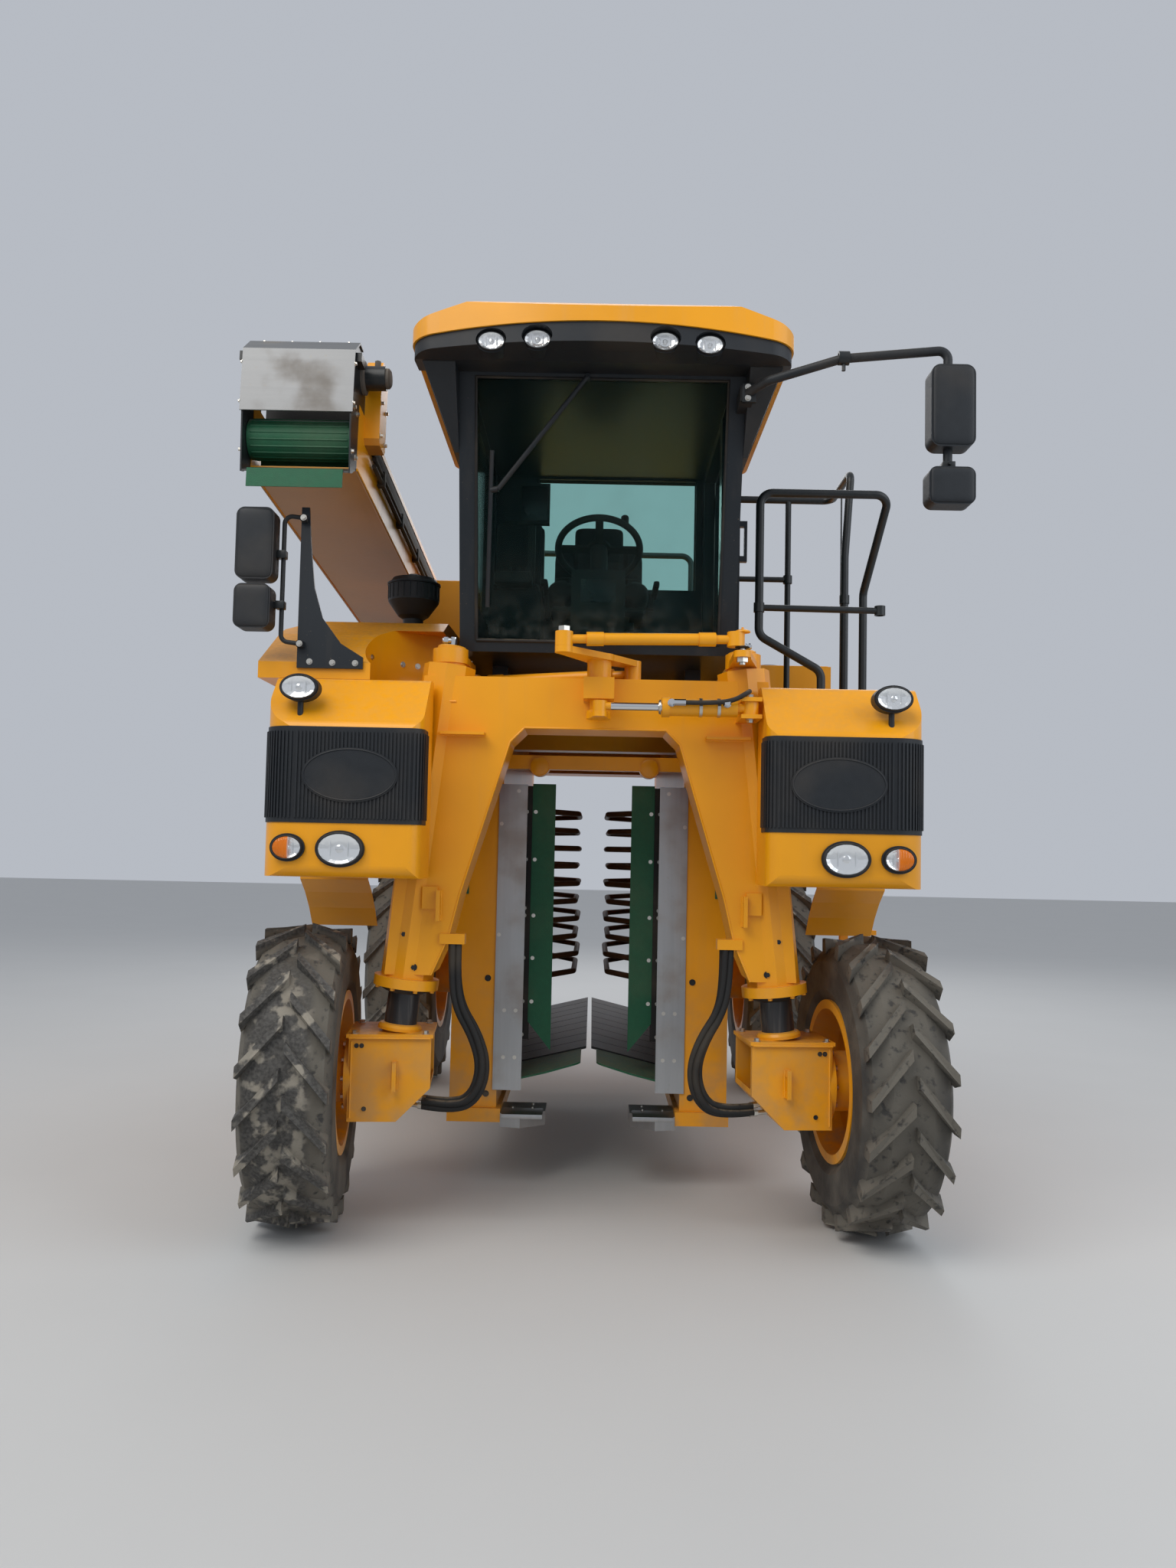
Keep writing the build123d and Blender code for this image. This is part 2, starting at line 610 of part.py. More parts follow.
# Front hoods and lamps
def hood_plan(y_front, grow, span):
    """Column with the plan outline of a hood, its front corners rounded."""
    x0, x1 = HOOD_X[0] - grow, HOOD_X[1] + grow
    y0 = y_front - grow
    low = span[0]
    outline = [(x0, HOOD_REAR_Y, low), (x0, y0, low), (x1, y0, low), (x1, HOOD_REAR_Y, low)]
    face = make_face(Polyline(*outline, close=True))
    for corner_x, radius in ((x0, HOOD_CORNERS[0]), (x1, HOOD_CORNERS[1])):
        corner = face.vertices().filter_by(lambda v: v.Y < y0 + 1 and abs(v.X - corner_x) < 1)
        face = fillet(corner, radius=radius + grow)
    return extrude(face, amount=span[1] - span[0], dir=(0, 0, 1))


@cache
def hoods():
    """Front hoods: bumper, grille pocket, rounded shoulder and flat top."""
    profile = [(HOOD_FRONT_Y, HOOD_BASE_Z), (HOOD_FRONT_Y, GRILLE_Z[1] + 8), (SHOULDER_Y, HOOD_TOP_Z)]
    profile += [(HOOD_REAR_Y, HOOD_TOP_Z), (HOOD_REAR_Y, HOOD_BASE_Z + 170), (-2200, HOOD_BASE_Z)]
    side = make_face(Polyline(*[(HOOD_X[0] - 20, y, z) for y, z in profile], close=True))
    side = fillet(side.vertices().filter_by(lambda v: v.Y < SHOULDER_Y + 1), radius=45)
    body = extrude(side, amount=HOOD_X[1] - HOOD_X[0] + 40, dir=(1, 0, 0))
    body = body & hood_plan(HOOD_FRONT_Y, 0, (1300, 2300))
    pocket = hood_plan(HOOD_FRONT_Y, 20, GRILLE_Z) - hood_plan(HOOD_FRONT_Y + 24, -8, GRILLE_Z)
    pocket = pocket & block((600, 1300), (HOOD_FRONT_Y - 40, HOOD_FRONT_Y + 130), GRILLE_Z)
    keep_points = [(640, 1300), (830, 1300), (720, 2300), (640, 2300)]
    keep = prism(keep_points, (PORTAL_FRONT_Y - 24, PORTAL_BACK_Y + SEAT), "Y")
    return both(body - pocket - keep)


def grilles():
    """Black ribbed panel wrapped round the front of each hood, with a plain oval in its middle."""
    z = (GRILLE_Z[0] + SEAT, GRILLE_Z[1] - SEAT)
    panel = hood_plan(HOOD_FRONT_Y, 4, z) - hood_plan(HOOD_FRONT_Y + 24 - SEAT, -8 + SEAT, z)
    panel = panel & block((600, 1300), (HOOD_FRONT_Y - 40, HOOD_FRONT_Y + 130 - SEAT), z)
    x0, x1 = HOOD_X[0] + HOOD_CORNERS[0] + 4, HOOD_X[1] - HOOD_CORNERS[1] - 4
    pitch = (x1 - x0) / GRILLE_RIBS
    pieces = [panel]
    for index in range(GRILLE_RIBS):
        x = x0 + index * pitch
        rib = block((x, x + pitch * 0.5), (HOOD_FRONT_Y - 9, HOOD_FRONT_Y + 2), (z[0] + 18, z[1] - 18))
        pieces.append(rib)
    centre = ((x0 + x1) / 2, sum(GRILLE_Z) / 2)
    pieces.append(oval(*centre, *GRILLE_OVAL, HOOD_FRONT_Y - 13, HOOD_FRONT_Y + 2))
    return both(fused(pieces))


# Lamps
ROOF_LAMPS = ((-425, 3428), (-250, 3438), (235, 3438), (405, 3428))
ROOF_LAMP_Y = -2575.0


def lamp_bodies():
    """Dark lamp bodies: headlamp, indicator, work lamp on its stalk, roof lamps."""
    pieces = []
    headlamp = oval(942, 1492, 184, 138, HOOD_FRONT_Y - 14, HOOD_FRONT_Y - SEAT)
    indicator = oval(1138, 1494, 130, 105, HOOD_FRONT_Y - 14, HOOD_FRONT_Y + 60)
    work = oval(1120, 2098, 148, 104, -2540, -2482)
    stalk = rod((1120, -2505, 1980), (1120, -2505, 2060), 11) - hoods()[0]
    pieces += both(headlamp) + both(indicator - hoods()[0])
    pieces += both((work + stalk) - hoods()[0])
    for x, z in ROOF_LAMPS:
        pieces.append(oval(x, z, 116, 84, ROOF_LAMP_Y, ROOF_LAMP_Y + 70))
    return pieces


def lamp_lenses():
    """Clear lens in front of each lamp body."""
    pieces = []
    front = HOOD_FRONT_Y - 14
    pieces += both(oval(942, 1492, 160, 114, front - 8, front - SEAT))
    pieces += both(oval(1138, 1494, 106, 82, front - 8, front - SEAT))
    pieces += both(oval(1120, 2098, 128, 84, -2548, -2540 - SEAT))
    for x, z in ROOF_LAMPS:
        pieces.append(oval(x, z, 98, 68, ROOF_LAMP_Y - 7, ROOF_LAMP_Y - SEAT))
    return pieces


def mudguards():
    """Guards behind the front wheels, curved round them and hanging from the hoods."""
    inner, outer = 810, 816
    arc = [radians(38 + index * 8) for index in range(4)]
    points = [(FRONT_AXLE_Y + inner * cos(a), 640 + inner * sin(a)) for a in arc]
    points += [(-1756, 1535), (-1750, 1535)]
    points += [(FRONT_AXLE_Y + outer * cos(a), 640 + outer * sin(a)) for a in reversed(arc)]
    return both(prism(points, (990, 1290), "X") - hoods()[0])


# Bonnet and covers on top
def bonnet():
    """Raised bonnet beside the cab on the driver's right, scooped out round the steering arm."""
    profile = [(SHOULDER_Y + 10, HOOD_TOP_Z), (SHOULDER_Y + 10, 2225), (-2040, 2390)]
    profile += [(-1780, 2495), (-1000, 2520), (-1000, HOOD_TOP_Z)]
    body = prism(profile, (-1335, -660), "X")
    scoop = rod((-592, KINGPIN_Y, 2100), (-592, KINGPIN_Y, 2430), 350)
    body = body - scoop
    trim = prism([(-1340, 2420), (-1200, 2530), (-1340, 2530)], (-2400, -900), "Y")
    return [body - trim]


def precleaner():
    """Air pre-cleaner bowl on its neck."""
    x, y = -845, -1600
    base = 2500
    profile = [(0, base), (46, base), (46, base + 45), (70, base + 60), (105, base + 110), (115, base + 125)]
    profile += [(115, base + 205), (98, base + 232), (50, base + 244), (0, base + 247)]
    face = make_face(Polyline(*[(r, 0, z) for r, z in profile], close=True))
    body = Pos(x, y, 0) * revolve(face, Axis.Z, 360)
    return [body - bonnet()[0]]


def side_tanks():
    """Tanks and covers along both sides above and between the wheels."""
    low_left = block((-1235, -648 - SEAT), (HOOD_REAR_Y + 5, 130), (1450, 2150))
    low_right = flip(low_left)
    high_left = block((-930, -625), (-985, 740), (2150, 2870))
    high_right = block((625, 1210), (-900, 850), (2240, 2480))
    neck = block((625, 1180), (-880, 740), (2140, 2250))
    return [low_left + high_left, low_right + neck + high_right]


def rear_cowl():
    """Engine cowl behind the cab, open underneath."""
    outer = block((-600, 600), (-860, 1000), (DECK_Z, 2800))
    inner = block((-580, 580), (-840, 980), (DECK_Z - 5, 2780))
    cowl = outer - inner
    for index in range(7):
        z = 2330 + index * 55
        cowl = cowl - block((-420, 420), (970, 1010), (z, z + 26))
    return [cowl]


def engine_block():
    """The engine as one plain block on the long beams."""
    return [block((-450, 450), (-600, 500), (DECK_Z, 2700))]


# Cab
def cab_inner_x():
    return CAB_HALF - CAB_WALL


def cab_profile(inset):
    """Side outline of the cab, with an inset all round."""
    slope = (CAB_FRONT_BASE_Y - CAB_FRONT_TOP_Y) / (CAB_TOP_Z - CAB_FLOOR_Z)
    z0, z1 = CAB_FLOOR_Z + inset, CAB_TOP_Z - inset
    front_base = CAB_FRONT_BASE_Y - slope * inset + inset * hypot(1, slope)
    front_top = CAB_FRONT_TOP_Y + slope * inset + inset * hypot(1, slope)
    return [(front_base, z0), (front_top, z1), (CAB_REAR_Y - inset, z1), (CAB_REAR_Y - inset, z0)]


def cab_frame():
    """Cab cell: floor, pillars, rear wall and roof plate with every window cut out."""
    shell = prism(cab_profile(0), (-CAB_HALF, CAB_HALF), "X")
    shell = shell - prism(cab_profile(CAB_WALL), (-cab_inner_x(), cab_inner_x()), "X")
    front = prism([(-2500, 2375), (-2500, 3390), (-1900, 3390), (-1900, 2375)], (-505, 505), "X")
    rear = block(REAR_WINDOW_X, (CAB_REAR_Y - 80, CAB_REAR_Y + 20), REAR_WINDOW_Z)
    left_window = prism(LEFT_WINDOW, (-CAB_HALF - 20, -cab_inner_x() + 20), "X")
    right_wall_x = (cab_inner_x() - 20, CAB_HALF + 20)
    door_hole = block(right_wall_x, (DOOR_Y[0] + 40, DOOR_Y[1] - 40), (DOOR_Z[0] + 40, DOOR_Z[1] - 40))
    quarter = prism(QUARTER_WINDOW, right_wall_x, "X")
    cell = shell - front - rear - left_window - door_hole - quarter
    for x in (-470, 400):
        cell = cell + block((x, x + 70), (-1660, -1580), (DECK_Z, CAB_FLOOR_Z + 10))
        cell = cell + block((x, x + 70), (-1080, -1005), (DECK_Z, CAB_FLOOR_Z + 10))
    return [cell]


def pane_points(window):
    """Corners of a side pane, a hair inside its window."""
    (front_low, low), (front_high, high), (rear_high, _), (rear_low, _) = window
    upper = [(front_high + 2 * SEAT, high - SEAT), (rear_high - SEAT, high - SEAT)]
    return [(front_low + SEAT, low + SEAT)] + upper + [(rear_low - SEAT, low + SEAT)]


def cab_glass():
    """Windscreen, side windows and rear window."""
    slope = (CAB_FRONT_BASE_Y - CAB_FRONT_TOP_Y) / (CAB_TOP_Z - CAB_FLOOR_Z)
    def front_y(z):
        return CAB_FRONT_BASE_Y - (z - CAB_FLOOR_Z) * slope
    z0, z1 = 2375 + SEAT, 3390 - SEAT
    low_y, high_y = front_y(z0) + 20, front_y(z1) + 20
    screen_points = [(low_y, z0), (high_y, z1), (high_y + 6, z1), (low_y + 6, z0)]
    screen = prism(screen_points, (-505 + SEAT, 505 - SEAT), "X")
    rear_x = (REAR_WINDOW_X[0] + SEAT, REAR_WINDOW_X[1] - SEAT)
    rear_z = (REAR_WINDOW_Z[0] + SEAT, REAR_WINDOW_Z[1] - SEAT)
    rear = block(rear_x, (CAB_REAR_Y - 30, CAB_REAR_Y - 24), rear_z)
    left_points = pane_points(LEFT_WINDOW)
    left = prism(left_points, (-CAB_HALF + 20, -CAB_HALF + 26), "X")
    quarter_points = pane_points(QUARTER_WINDOW)
    quarter = prism(quarter_points, (CAB_HALF - 26, CAB_HALF - 20), "X")
    return [screen, rear, left, quarter]


def cab_door():
    """Door frame on the driver's left, hinged at its rear edge."""
    x = (CAB_HALF + 2, CAB_HALF + 2 + DOOR_THICK)
    frame = block(x, DOOR_Y, DOOR_Z)
    hole = block((x[0] - 5, x[1] + 5), (DOOR_Y[0] + 60, DOOR_Y[1] - 60), (DOOR_Z[0] + 70, DOOR_Z[1] - 60))
    handle = block((x[1] - 2, x[1] + 34), (DOOR_Y[0] + 18, DOOR_Y[0] + 44), (2780, 2960))
    hole_handle = block((x[1], x[1] + 22), (DOOR_Y[0] + 10, DOOR_Y[0] + 50), (2805, 2935))
    leaf = frame - hole + (handle - hole_handle)
    for z in HINGE_Z:
        z0, z1 = z + 90 + SEAT, z + 128
        leaf = leaf + block((DOOR_AXIS_X - 16, DOOR_AXIS_X), (DOOR_Y[1] - 12, DOOR_AXIS_Y), (z0, z1))
        leaf = leaf + rod((DOOR_AXIS_X, DOOR_AXIS_Y, z0), (DOOR_AXIS_X, DOOR_AXIS_Y, z1), 16)
        leaf = leaf - rod((DOOR_AXIS_X, DOOR_AXIS_Y, z0 - 5), (DOOR_AXIS_X, DOOR_AXIS_Y, z1 + 5), 9 + RUN)
    return [leaf]


def door_glass():
    x0 = CAB_HALF + 16
    y = (DOOR_Y[0] + 60 + SEAT, DOOR_Y[1] - 60 - SEAT)
    z = (DOOR_Z[0] + 70 + SEAT, DOOR_Z[1] - 60 - SEAT)
    return [block((x0, x0 + GLASS), y, z)]



def door_hinges():
    """Fixed hinge pins beside the door's rear edge."""
    pieces = []
    for z in HINGE_Z:
        pin = rod((DOOR_AXIS_X, DOOR_AXIS_Y, z), (DOOR_AXIS_X, DOOR_AXIS_Y, z + 130), 9)
        leaf = block((CAB_HALF - 2, DOOR_AXIS_X), (DOOR_AXIS_Y - 4, DOOR_AXIS_Y + 4), (z, z + 90))
        pieces.append(pin + leaf)
    return pieces


def roof_plan(grow, low):
    """Column with the plan outline of the roof: bowed front, rounded corners."""
    x, front, rear = ROOF_HALF + grow, ROOF_Y[0] - grow, ROOF_Y[1] + grow
    bow = ThreePointArc((-x, front + ROOF_BOW, low), (0, front, low), (x, front + ROOF_BOW, low))
    corner_y = front + ROOF_BOW
    sides = Polyline((x, corner_y, low), (x, rear, low), (-x, rear, low), (-x, corner_y, low))
    face = make_face([bow, sides])
    face = fillet(face.vertices(), radius=ROOF_CORNER + grow)
    return extrude(face, amount=600, dir=(0, 0, 1))


def under_roof(drop):
    """Everything below the drooping underside of the roof."""
    x, y = ROOF_HALF + 40, ROOF_Y[0] - 40
    crown = ROOF_BASE_Z - drop
    arc = ThreePointArc((-x, y, crown - ROOF_DROOP), (0, y, crown), (x, y, crown - ROOF_DROOP))
    rest = Polyline((x, y, crown - ROOF_DROOP), (x, y, 2900), (-x, y, 2900), (-x, y, crown - ROOF_DROOP))
    return extrude(make_face([arc, rest]), amount=ROOF_Y[1] - ROOF_Y[0] + 80, dir=(0, 1, 0))


def cab_roof():
    """Crowned roof cap, drooping at the sides, with a bowed front edge."""
    slab = roof_plan(0, ROOF_BASE_Z - 100) - under_roof(0)
    half, droop = ROOF_HALF + 5, ROOF_DROOP
    crown = [(-half, 3200), (-half, ROOF_BASE_Z + 62 - droop), (-half + 60, ROOF_BASE_Z + 84 - droop)]
    crown += [(-430, ROOF_CREST_Z - 28), (-200, ROOF_CREST_Z - 6), (0, ROOF_CREST_Z)]
    crown += [(-x, z) for x, z in reversed(crown[:-1])]
    slab = slab & prism(crown, (ROOF_Y[0] - 5, ROOF_Y[1] + 5), "Y")
    side = [(ROOF_Y[0] - 5, 3200), (ROOF_Y[0] - 5, ROOF_BASE_Z + 55), (ROOF_Y[0] + 60, ROOF_BASE_Z + 92)]
    side += [(-2200, ROOF_CREST_Z + 1), (-1300, ROOF_CREST_Z + 1)]
    side += [(ROOF_Y[1] + 5, ROOF_CREST_Z - 50), (ROOF_Y[1] + 5, 3200)]
    return [slab & prism(side, (-half, half), "X")]


def cheek():
    """Fairing that runs from the roof's front corner down the windscreen pillar."""
    inner = CAB_HALF + SEAT
    top = 3470
    a, b = Vector(ROOF_HALF - 12, -2510, top), Vector(ROOF_HALF - 12, -1900, top)
    c, d = Vector(inner, -1900, top), Vector(inner, -2510, top)
    low = Vector(inner, -2258, 3105)
    mid = Vector(inner + 16, -2258, 3105)
    faces = []
    top_faces = ((a, b, c), (a, c, d))
    side_faces = ((a, mid, b), (b, mid, low), (b, low, c), (c, low, d), (d, low, mid), (d, mid, a))
    for trio in top_faces + side_faces:
        faces.append(Face(Wire.make_polygon(trio, close=True)))
    return Solid(Shell(faces))


@cache
def visor():
    """Dark underside of the roof, deepest over the windscreen, with a cheek at each pillar."""
    slope = (CAB_FRONT_BASE_Y - CAB_FRONT_TOP_Y) / (CAB_TOP_Z - CAB_FLOOR_Z)
    brow_z = 3408
    brow_y = CAB_FRONT_BASE_Y - (brow_z - CAB_FLOOR_Z) * slope - SEAT
    front, rear, over = ROOF_Y[0] - 20, ROOF_Y[1] + 20, ROOF_BASE_Z + 60
    profile = [(front, over), (front, ROOF_BASE_Z - 72), (-2560, ROOF_BASE_Z - 86), (-2480, ROOF_BASE_Z - 94)]
    profile += [(brow_y, brow_z), (CAB_FRONT_TOP_Y - SEAT, CAB_TOP_Z + SEAT)]
    profile += [(rear, CAB_TOP_Z + SEAT), (rear, over)]
    body = prism(profile, (-ROOF_HALF, ROOF_HALF), "X")
    body = fused([body, cheek(), flip(cheek())])
    body = body & roof_plan(-8, 2900)
    body = body & under_roof(SEAT)
    for x, z in ROOF_LAMPS:
        body = body - oval(x, z, 116 + 2 * SEAT, 84 + 2 * SEAT, ROOF_Y[0] - 20, ROOF_LAMP_Y + 70 + SEAT)
    return [body]


def seat():
    """Driver's seat on its pedestal, with an armrest."""
    floor = CAB_FLOOR_Z + CAB_WALL
    pedestal = block((-190, 190), (-1460, -1180), (floor, 2640))
    cushion = block((-235, 235), (-1560, -1110), (2640, 2760))
    back = prism([(-1240, 2755), (-1130, 2755), (-1080, 2985), (-1150, 2985)], (-215, 215), "X")
    head = prism([(-1148, 2980), (-1085, 2980), (-1070, 3110), (-1120, 3110)], (-120, 120), "X")
    armrest = block((205, 290), (-1440, -1140), (2765, 2785))
    armrest = armrest + block((205, 290), (-1200, -1140), (2700, 2785))
    return [fused([pedestal, cushion, back, head, armrest])]


def steering_column():
    """Column, dashboard and wheel, with the second seat and the monitor on its post."""
    floor = CAB_FLOOR_Z + CAB_WALL
    base = block((-115, 115), (-1990, -1840), (floor, 2700))
    column = rod((0, -1910, 2680), (0, -1810, 2830), 38)
    axis = Vector(0, 100, 150).normalized()
    centre = Vector(0, -1807, 2835)
    wheel = Plane(origin=centre, z_dir=axis) * Torus(180, 15)
    spokes = [Plane(origin=centre, z_dir=axis, x_dir=(1, 0, 0)) * Box(360, 34, 14)]
    spokes.append(Plane(origin=centre, z_dir=axis, x_dir=(1, 0, 0)) * (Pos(0, -90, 0) * Box(34, 180, 14)))
    pod = block((-500, -265), (-1560, -1130), (floor, 2700))
    back_points = [(-495, 2695), (-262, 2695), (-262, 3030), (-300, 3070), (-450, 3070), (-495, 3030)]
    back = prism(back_points, (-1400, -1330), "Y")
    post = block((-330, -296), (-1556, -1526), (2695, 3060))
    monitor = block((-372, -232), (-1576, -1540), (3010, 3200))
    return [fused([base, column, wheel] + spokes), fused([pod, back, post, monitor])]


def wiper():
    """Long wiper laid diagonally in front of the windscreen."""
    root, knee = Vector(-58, -2366, 3388), Vector(-414, -2245, 2963)
    arm = rod(root, knee, 10)
    blade_top, blade_tip = Vector(-440, -2278, 3110), Vector(-458, -2116, 2505)
    blade = rod(blade_top, blade_tip, 9)
    joint = rod(knee, blade_top + (blade_tip - blade_top) * 0.25, 12)
    pivot = rod((-58, -2376, 3388), (-58, -2290, 3388), 9) - prism(cab_profile(-SEAT), (-700, 700), "X")
    return [fused([arm, blade, joint, pivot])]


# Mirrors
FIN_Y = (SHOULDER_Y + 10 - SEAT - 12, SHOULDER_Y + 10 - SEAT)


def mirror_fin():
    """Upright fin with a hollow curve on its inner edge, carrying the mirrors at the driver's right."""
    outline = [(-1180, 2200), (-920, 2200), (-920, 2245), (-1010, 2300), (-1085, 2400)]
    outline += [(-1120, 2520), (-1140, 2700), (-1150, 2840), (-1180, 2840)]
    return [prism(outline, FIN_Y, "Y")]


def mirrors():
    """Mirror housings with their tubes on both sides."""
    def housing(x, z, y):
        size = (x[1] - x[0], z[1] - z[0])
        body = block(x, (y - 45, y + 40), z)
        return fillet(body.edges().filter_by(Axis.Y), radius=min(size) * 0.22)
    pieces = [housing((-1410, -1262), (2530, 2812), -2400), housing((-1410, -1268), (2338, 2512), -2400)]
    left_route = [(-1165, -2375, 2790), (-1240, -2375, 2800), (-1240, -2375, 2300), (-1165, -2375, 2290)]
    left_tube = tube(left_route, 9, 30)
    clamps = [block((-1268, -1232), (-2392, -2365), (z - 12, z + 12)) for z in (2640, 2440)]
    ends = [block((-1176, -1152), (-2385, FIN_Y[0] - SEAT), (z - 12, z + 12)) for z in (2790, 2290)]
    left = fused([pieces[0], pieces[1], left_tube] + clamps + ends)
    right_a = housing((1212, 1376), (3015, 3324), -2650)
    right_b = housing((1205, 1376), (2800, 2940), -2650)
    root = [(560, -2430, 3300), (640, -2520, 3320), (900, -2610, 3372)]
    root += [(1285, -2650, 3394), (1285, -2650, 2960)]
    arm = tube(root, 17, 35)
    stub = rod((1285, -2650, 2990), (1285, -2650, 2880), 14)
    foot = block((540, 590), (-2440, -2290), (3270, 3330))
    foot = foot - prism(cab_profile(-0.3), (-700, 700), "X")
    right = fused([right_a, right_b, arm, stub, foot]) - visor()[0]
    return [left, right]


def mirror_glass():
    """Silvered faces on the back of the housings."""
    pieces = []
    for x, z, y in (((-1396, -1276), (2548, 2795), -2360), ((-1396, -1282), (2352, 2498), -2360)):
        pieces.append(block(x, (y + SEAT, y + 3), z))
    for x, z in (((1226, 1362), (3032, 3308)), ((1218, 1362), (2814, 2926))):
        pieces.append(block(x, (-2610 + SEAT, -2607), z))
    return pieces


# Platform, ladder and rails
def platform():
    """Walkway beside the cab with its raised step."""
    return [block((640, LADDER_X[0] - SEAT), (-1960, -905), (HOOD_TOP_Z, HOOD_TOP_Z + 36))]


def ladder():
    """Two uprights and six treads outside the walkway."""
    top = HOOD_TOP_Z + 36
    pieces = []
    for y in LADDER_Y:
        pieces.append(block(LADDER_X, (y, y + 30), (520, top)))
    for index in range(LADDER_TREADS):
        z = LADDER_FOOT_Z + index * LADDER_PITCH
        tread_y = (LADDER_Y[0] + 25, LADDER_Y[1] + 5)
        pieces.append(block((LADDER_X[0] + 5, LADDER_X[1] + 55), tread_y, (z, z + 22)))
    return [fused(pieces)]


def guard_rails():
    """Bent tube rails round the walkway and across the rear deck."""
    r = RAIL_RADIUS
    floor = HOOD_TOP_Z + 36
    front_route = [(958, -1950, floor), (958, -1950, 2290), (690, -1950, 2440), (690, -1950, 3060)]
    front_route += [(1245, -1950, 3060), (1205, -1640, 2700), (1205, -1640, floor)]
    front = tube(front_route, r, 55)
    bar = rod((690, -1950, 2560), (1215, -1930, 2560), 14)
    far_route = [(620, -1030, 3310), (1180, -1030, 3310), (1180, -1480, 3310), (1150, -1500, 2900)]
    far = tube(far_route + [(1150, -1500, floor)], r, 50)
    post = rod((960, -1030, 3310), (960, -1030, floor), 15)
    mid = rod((620, -1030, 2900), (970, -1030, 2900), 14)
    wall_end = [rod((CAB_HALF + SEAT, -1030, z), (640, -1030, z), r) for z in (3310, 2900)]
    rear = tube([(-560, 100, 2800), (-560, 100, 3300), (560, 100, 3300), (560, 100, 2800)], r, 60)
    hand = tube([(1290, -1030, 2250), (1290, -1030, 2900), (1290, -1130, 2960), (1290, -1160, 2860)], 13, 30)
    hand_foot = block((1240, 1300), (-1050, -1030), (2170, 2260))
    whip = rod((1195, -1200, floor), (1195, -1200, 3280), 4)
    far = fused([far, post, mid] + wall_end)
    return [fused([front, bar]), far, rear, whip]


# Rear machinery
def elevators():
    """Two upright elevators and the cross conveyor that feeds the arm."""
    profile = [(880, 380), (1200, 380), (1560, 2880), (1560, 3000), (1290, 3000), (1060, 1600)]
    beam_way = block((400, 700), (700, 1035), (2000, 2200))
    lift = prism(profile, (430, REAR_LEG_X[0] - SEAT), "X") - beam_way
    trough = block((-1330, 640), (1200, 1620), (3060, 3300))
    trough = trough - block((-1310, 620), (1215, 1605), (3075, 3310))
    trough = trough - block((-1310, -1040), (1215, 1605), (3050, 3100))
    feet = [block(x, (1340, 1540), (2995, 3065)) for x in ((440, 630), (-630, -440))]
    return [fused([lift, flip(lift), trough] + feet)]


FAN_Y = 1880.0
FAN_Z = 1250.0
FAN_RADIUS = 240.0


def fan_housings():
    """Round ducts of the two extractor fans, each with a motor boss on a bar."""
    duct = ring((660, FAN_Y, FAN_Z), (1, 0, 0), FAN_RADIUS + 10, FAN_RADIUS, 240)
    bar = block((662, 690), (FAN_Y - FAN_RADIUS - 4, FAN_Y + FAN_RADIUS + 4), (FAN_Z - 30, FAN_Z + 30))
    boss = rod((640, FAN_Y, FAN_Z), (700, FAN_Y, FAN_Z), 60)
    axle = rod((700, FAN_Y, FAN_Z), (830, FAN_Y, FAN_Z), 18)
    strap = block((680, 780), (FAN_Y - 40, FAN_Y + 40), (FAN_Z + FAN_RADIUS + 2, 2050))
    return both(fused([duct, bar, boss, axle, strap]))


def fan_rotor(side):
    """Six-bladed rotor on its axle."""
    hub = ring((720, FAN_Y, FAN_Z), (1, 0, 0), 62, 18 + RUN, 90)
    blades = []
    for index in range(6):
        vane = Pos(0, 0, 140) * (Rot(0, 0, 32) * Box(8, 110, 180))
        blade = Pos(765, FAN_Y, FAN_Z) * (Rot(60 * index, 0, 0) * vane)
        blades.append(blade)
    rotor = fused([hub] + blades) & rod((700, FAN_Y, FAN_Z), (850, FAN_Y, FAN_Z), FAN_RADIUS - 8)
    return [rotor if side > 0 else flip(rotor)]


# Discharge arm
def boom_place(shape):
    """Tips a shape drawn level, with the lift hinge at its origin, into the folded arm's pose."""
    return Pos(ARM_X, LIFT_Y, LIFT_Z) * (Rot(-BOOM_PITCH_DEG, 0, 0) * shape)


def boom_point(x, y, z):
    a = radians(-BOOM_PITCH_DEG)
    return Vector(ARM_X + x, LIFT_Y + y * cos(a) - z * sin(a), LIFT_Z + y * sin(a) + z * cos(a))


BOOM_Y = (-BOOM_LENGTH, 190.0)
BOOM_Z = (-90.0, -90.0 + BOOM_DEPTH)


def arm_boom():
    """Open trough of the arm with its hinge ears and the motor cover at the head."""
    trough = block((-ARM_HALF, ARM_HALF), BOOM_Y, BOOM_Z)
    inner = ARM_HALF - BOOM_WALL
    hollow_z = (BOOM_Z[0] + BOOM_WALL, BOOM_Z[1] + 5)
    trough = trough - block((-inner, inner), (BOOM_Y[0] - 5, BOOM_Y[1] + 5), hollow_z)
    trough = trough - rod((-300, 0, 0), (300, 0, 0), 25 + RUN)
    y0, y1 = BOOM_Y[0] + 112, BOOM_Y[0] + 250
    cover_points = [(y0, 90), (y0 + 20, 68), (y1 - 20, 68), (y1, 90)]
    cover_points += [(y1, 400), (y1 - 24, 428), (y0 + 24, 428), (y0, 400)]
    cover = prism(cover_points, (ARM_HALF - 2, ARM_HALF + 62), "X")
    rib_y = (BOOM_Y[0] + 260, BOOM_Y[1] - 60)
    rib = block((ARM_HALF - 4, ARM_HALF + 14), rib_y, (BOOM_Z[1] - 26, BOOM_Z[1]))
    lug = block((-30, 30), (-1190, -1110), (BOOM_Z[0] - 60, BOOM_Z[0] + 2))
    lug = lug - rod((-40, -1150, BOOM_Z[0] - 32), (40, -1150, BOOM_Z[0] - 32), 15 + RUN)
    return [boom_place(fused([trough, cover, rib, lug]))]


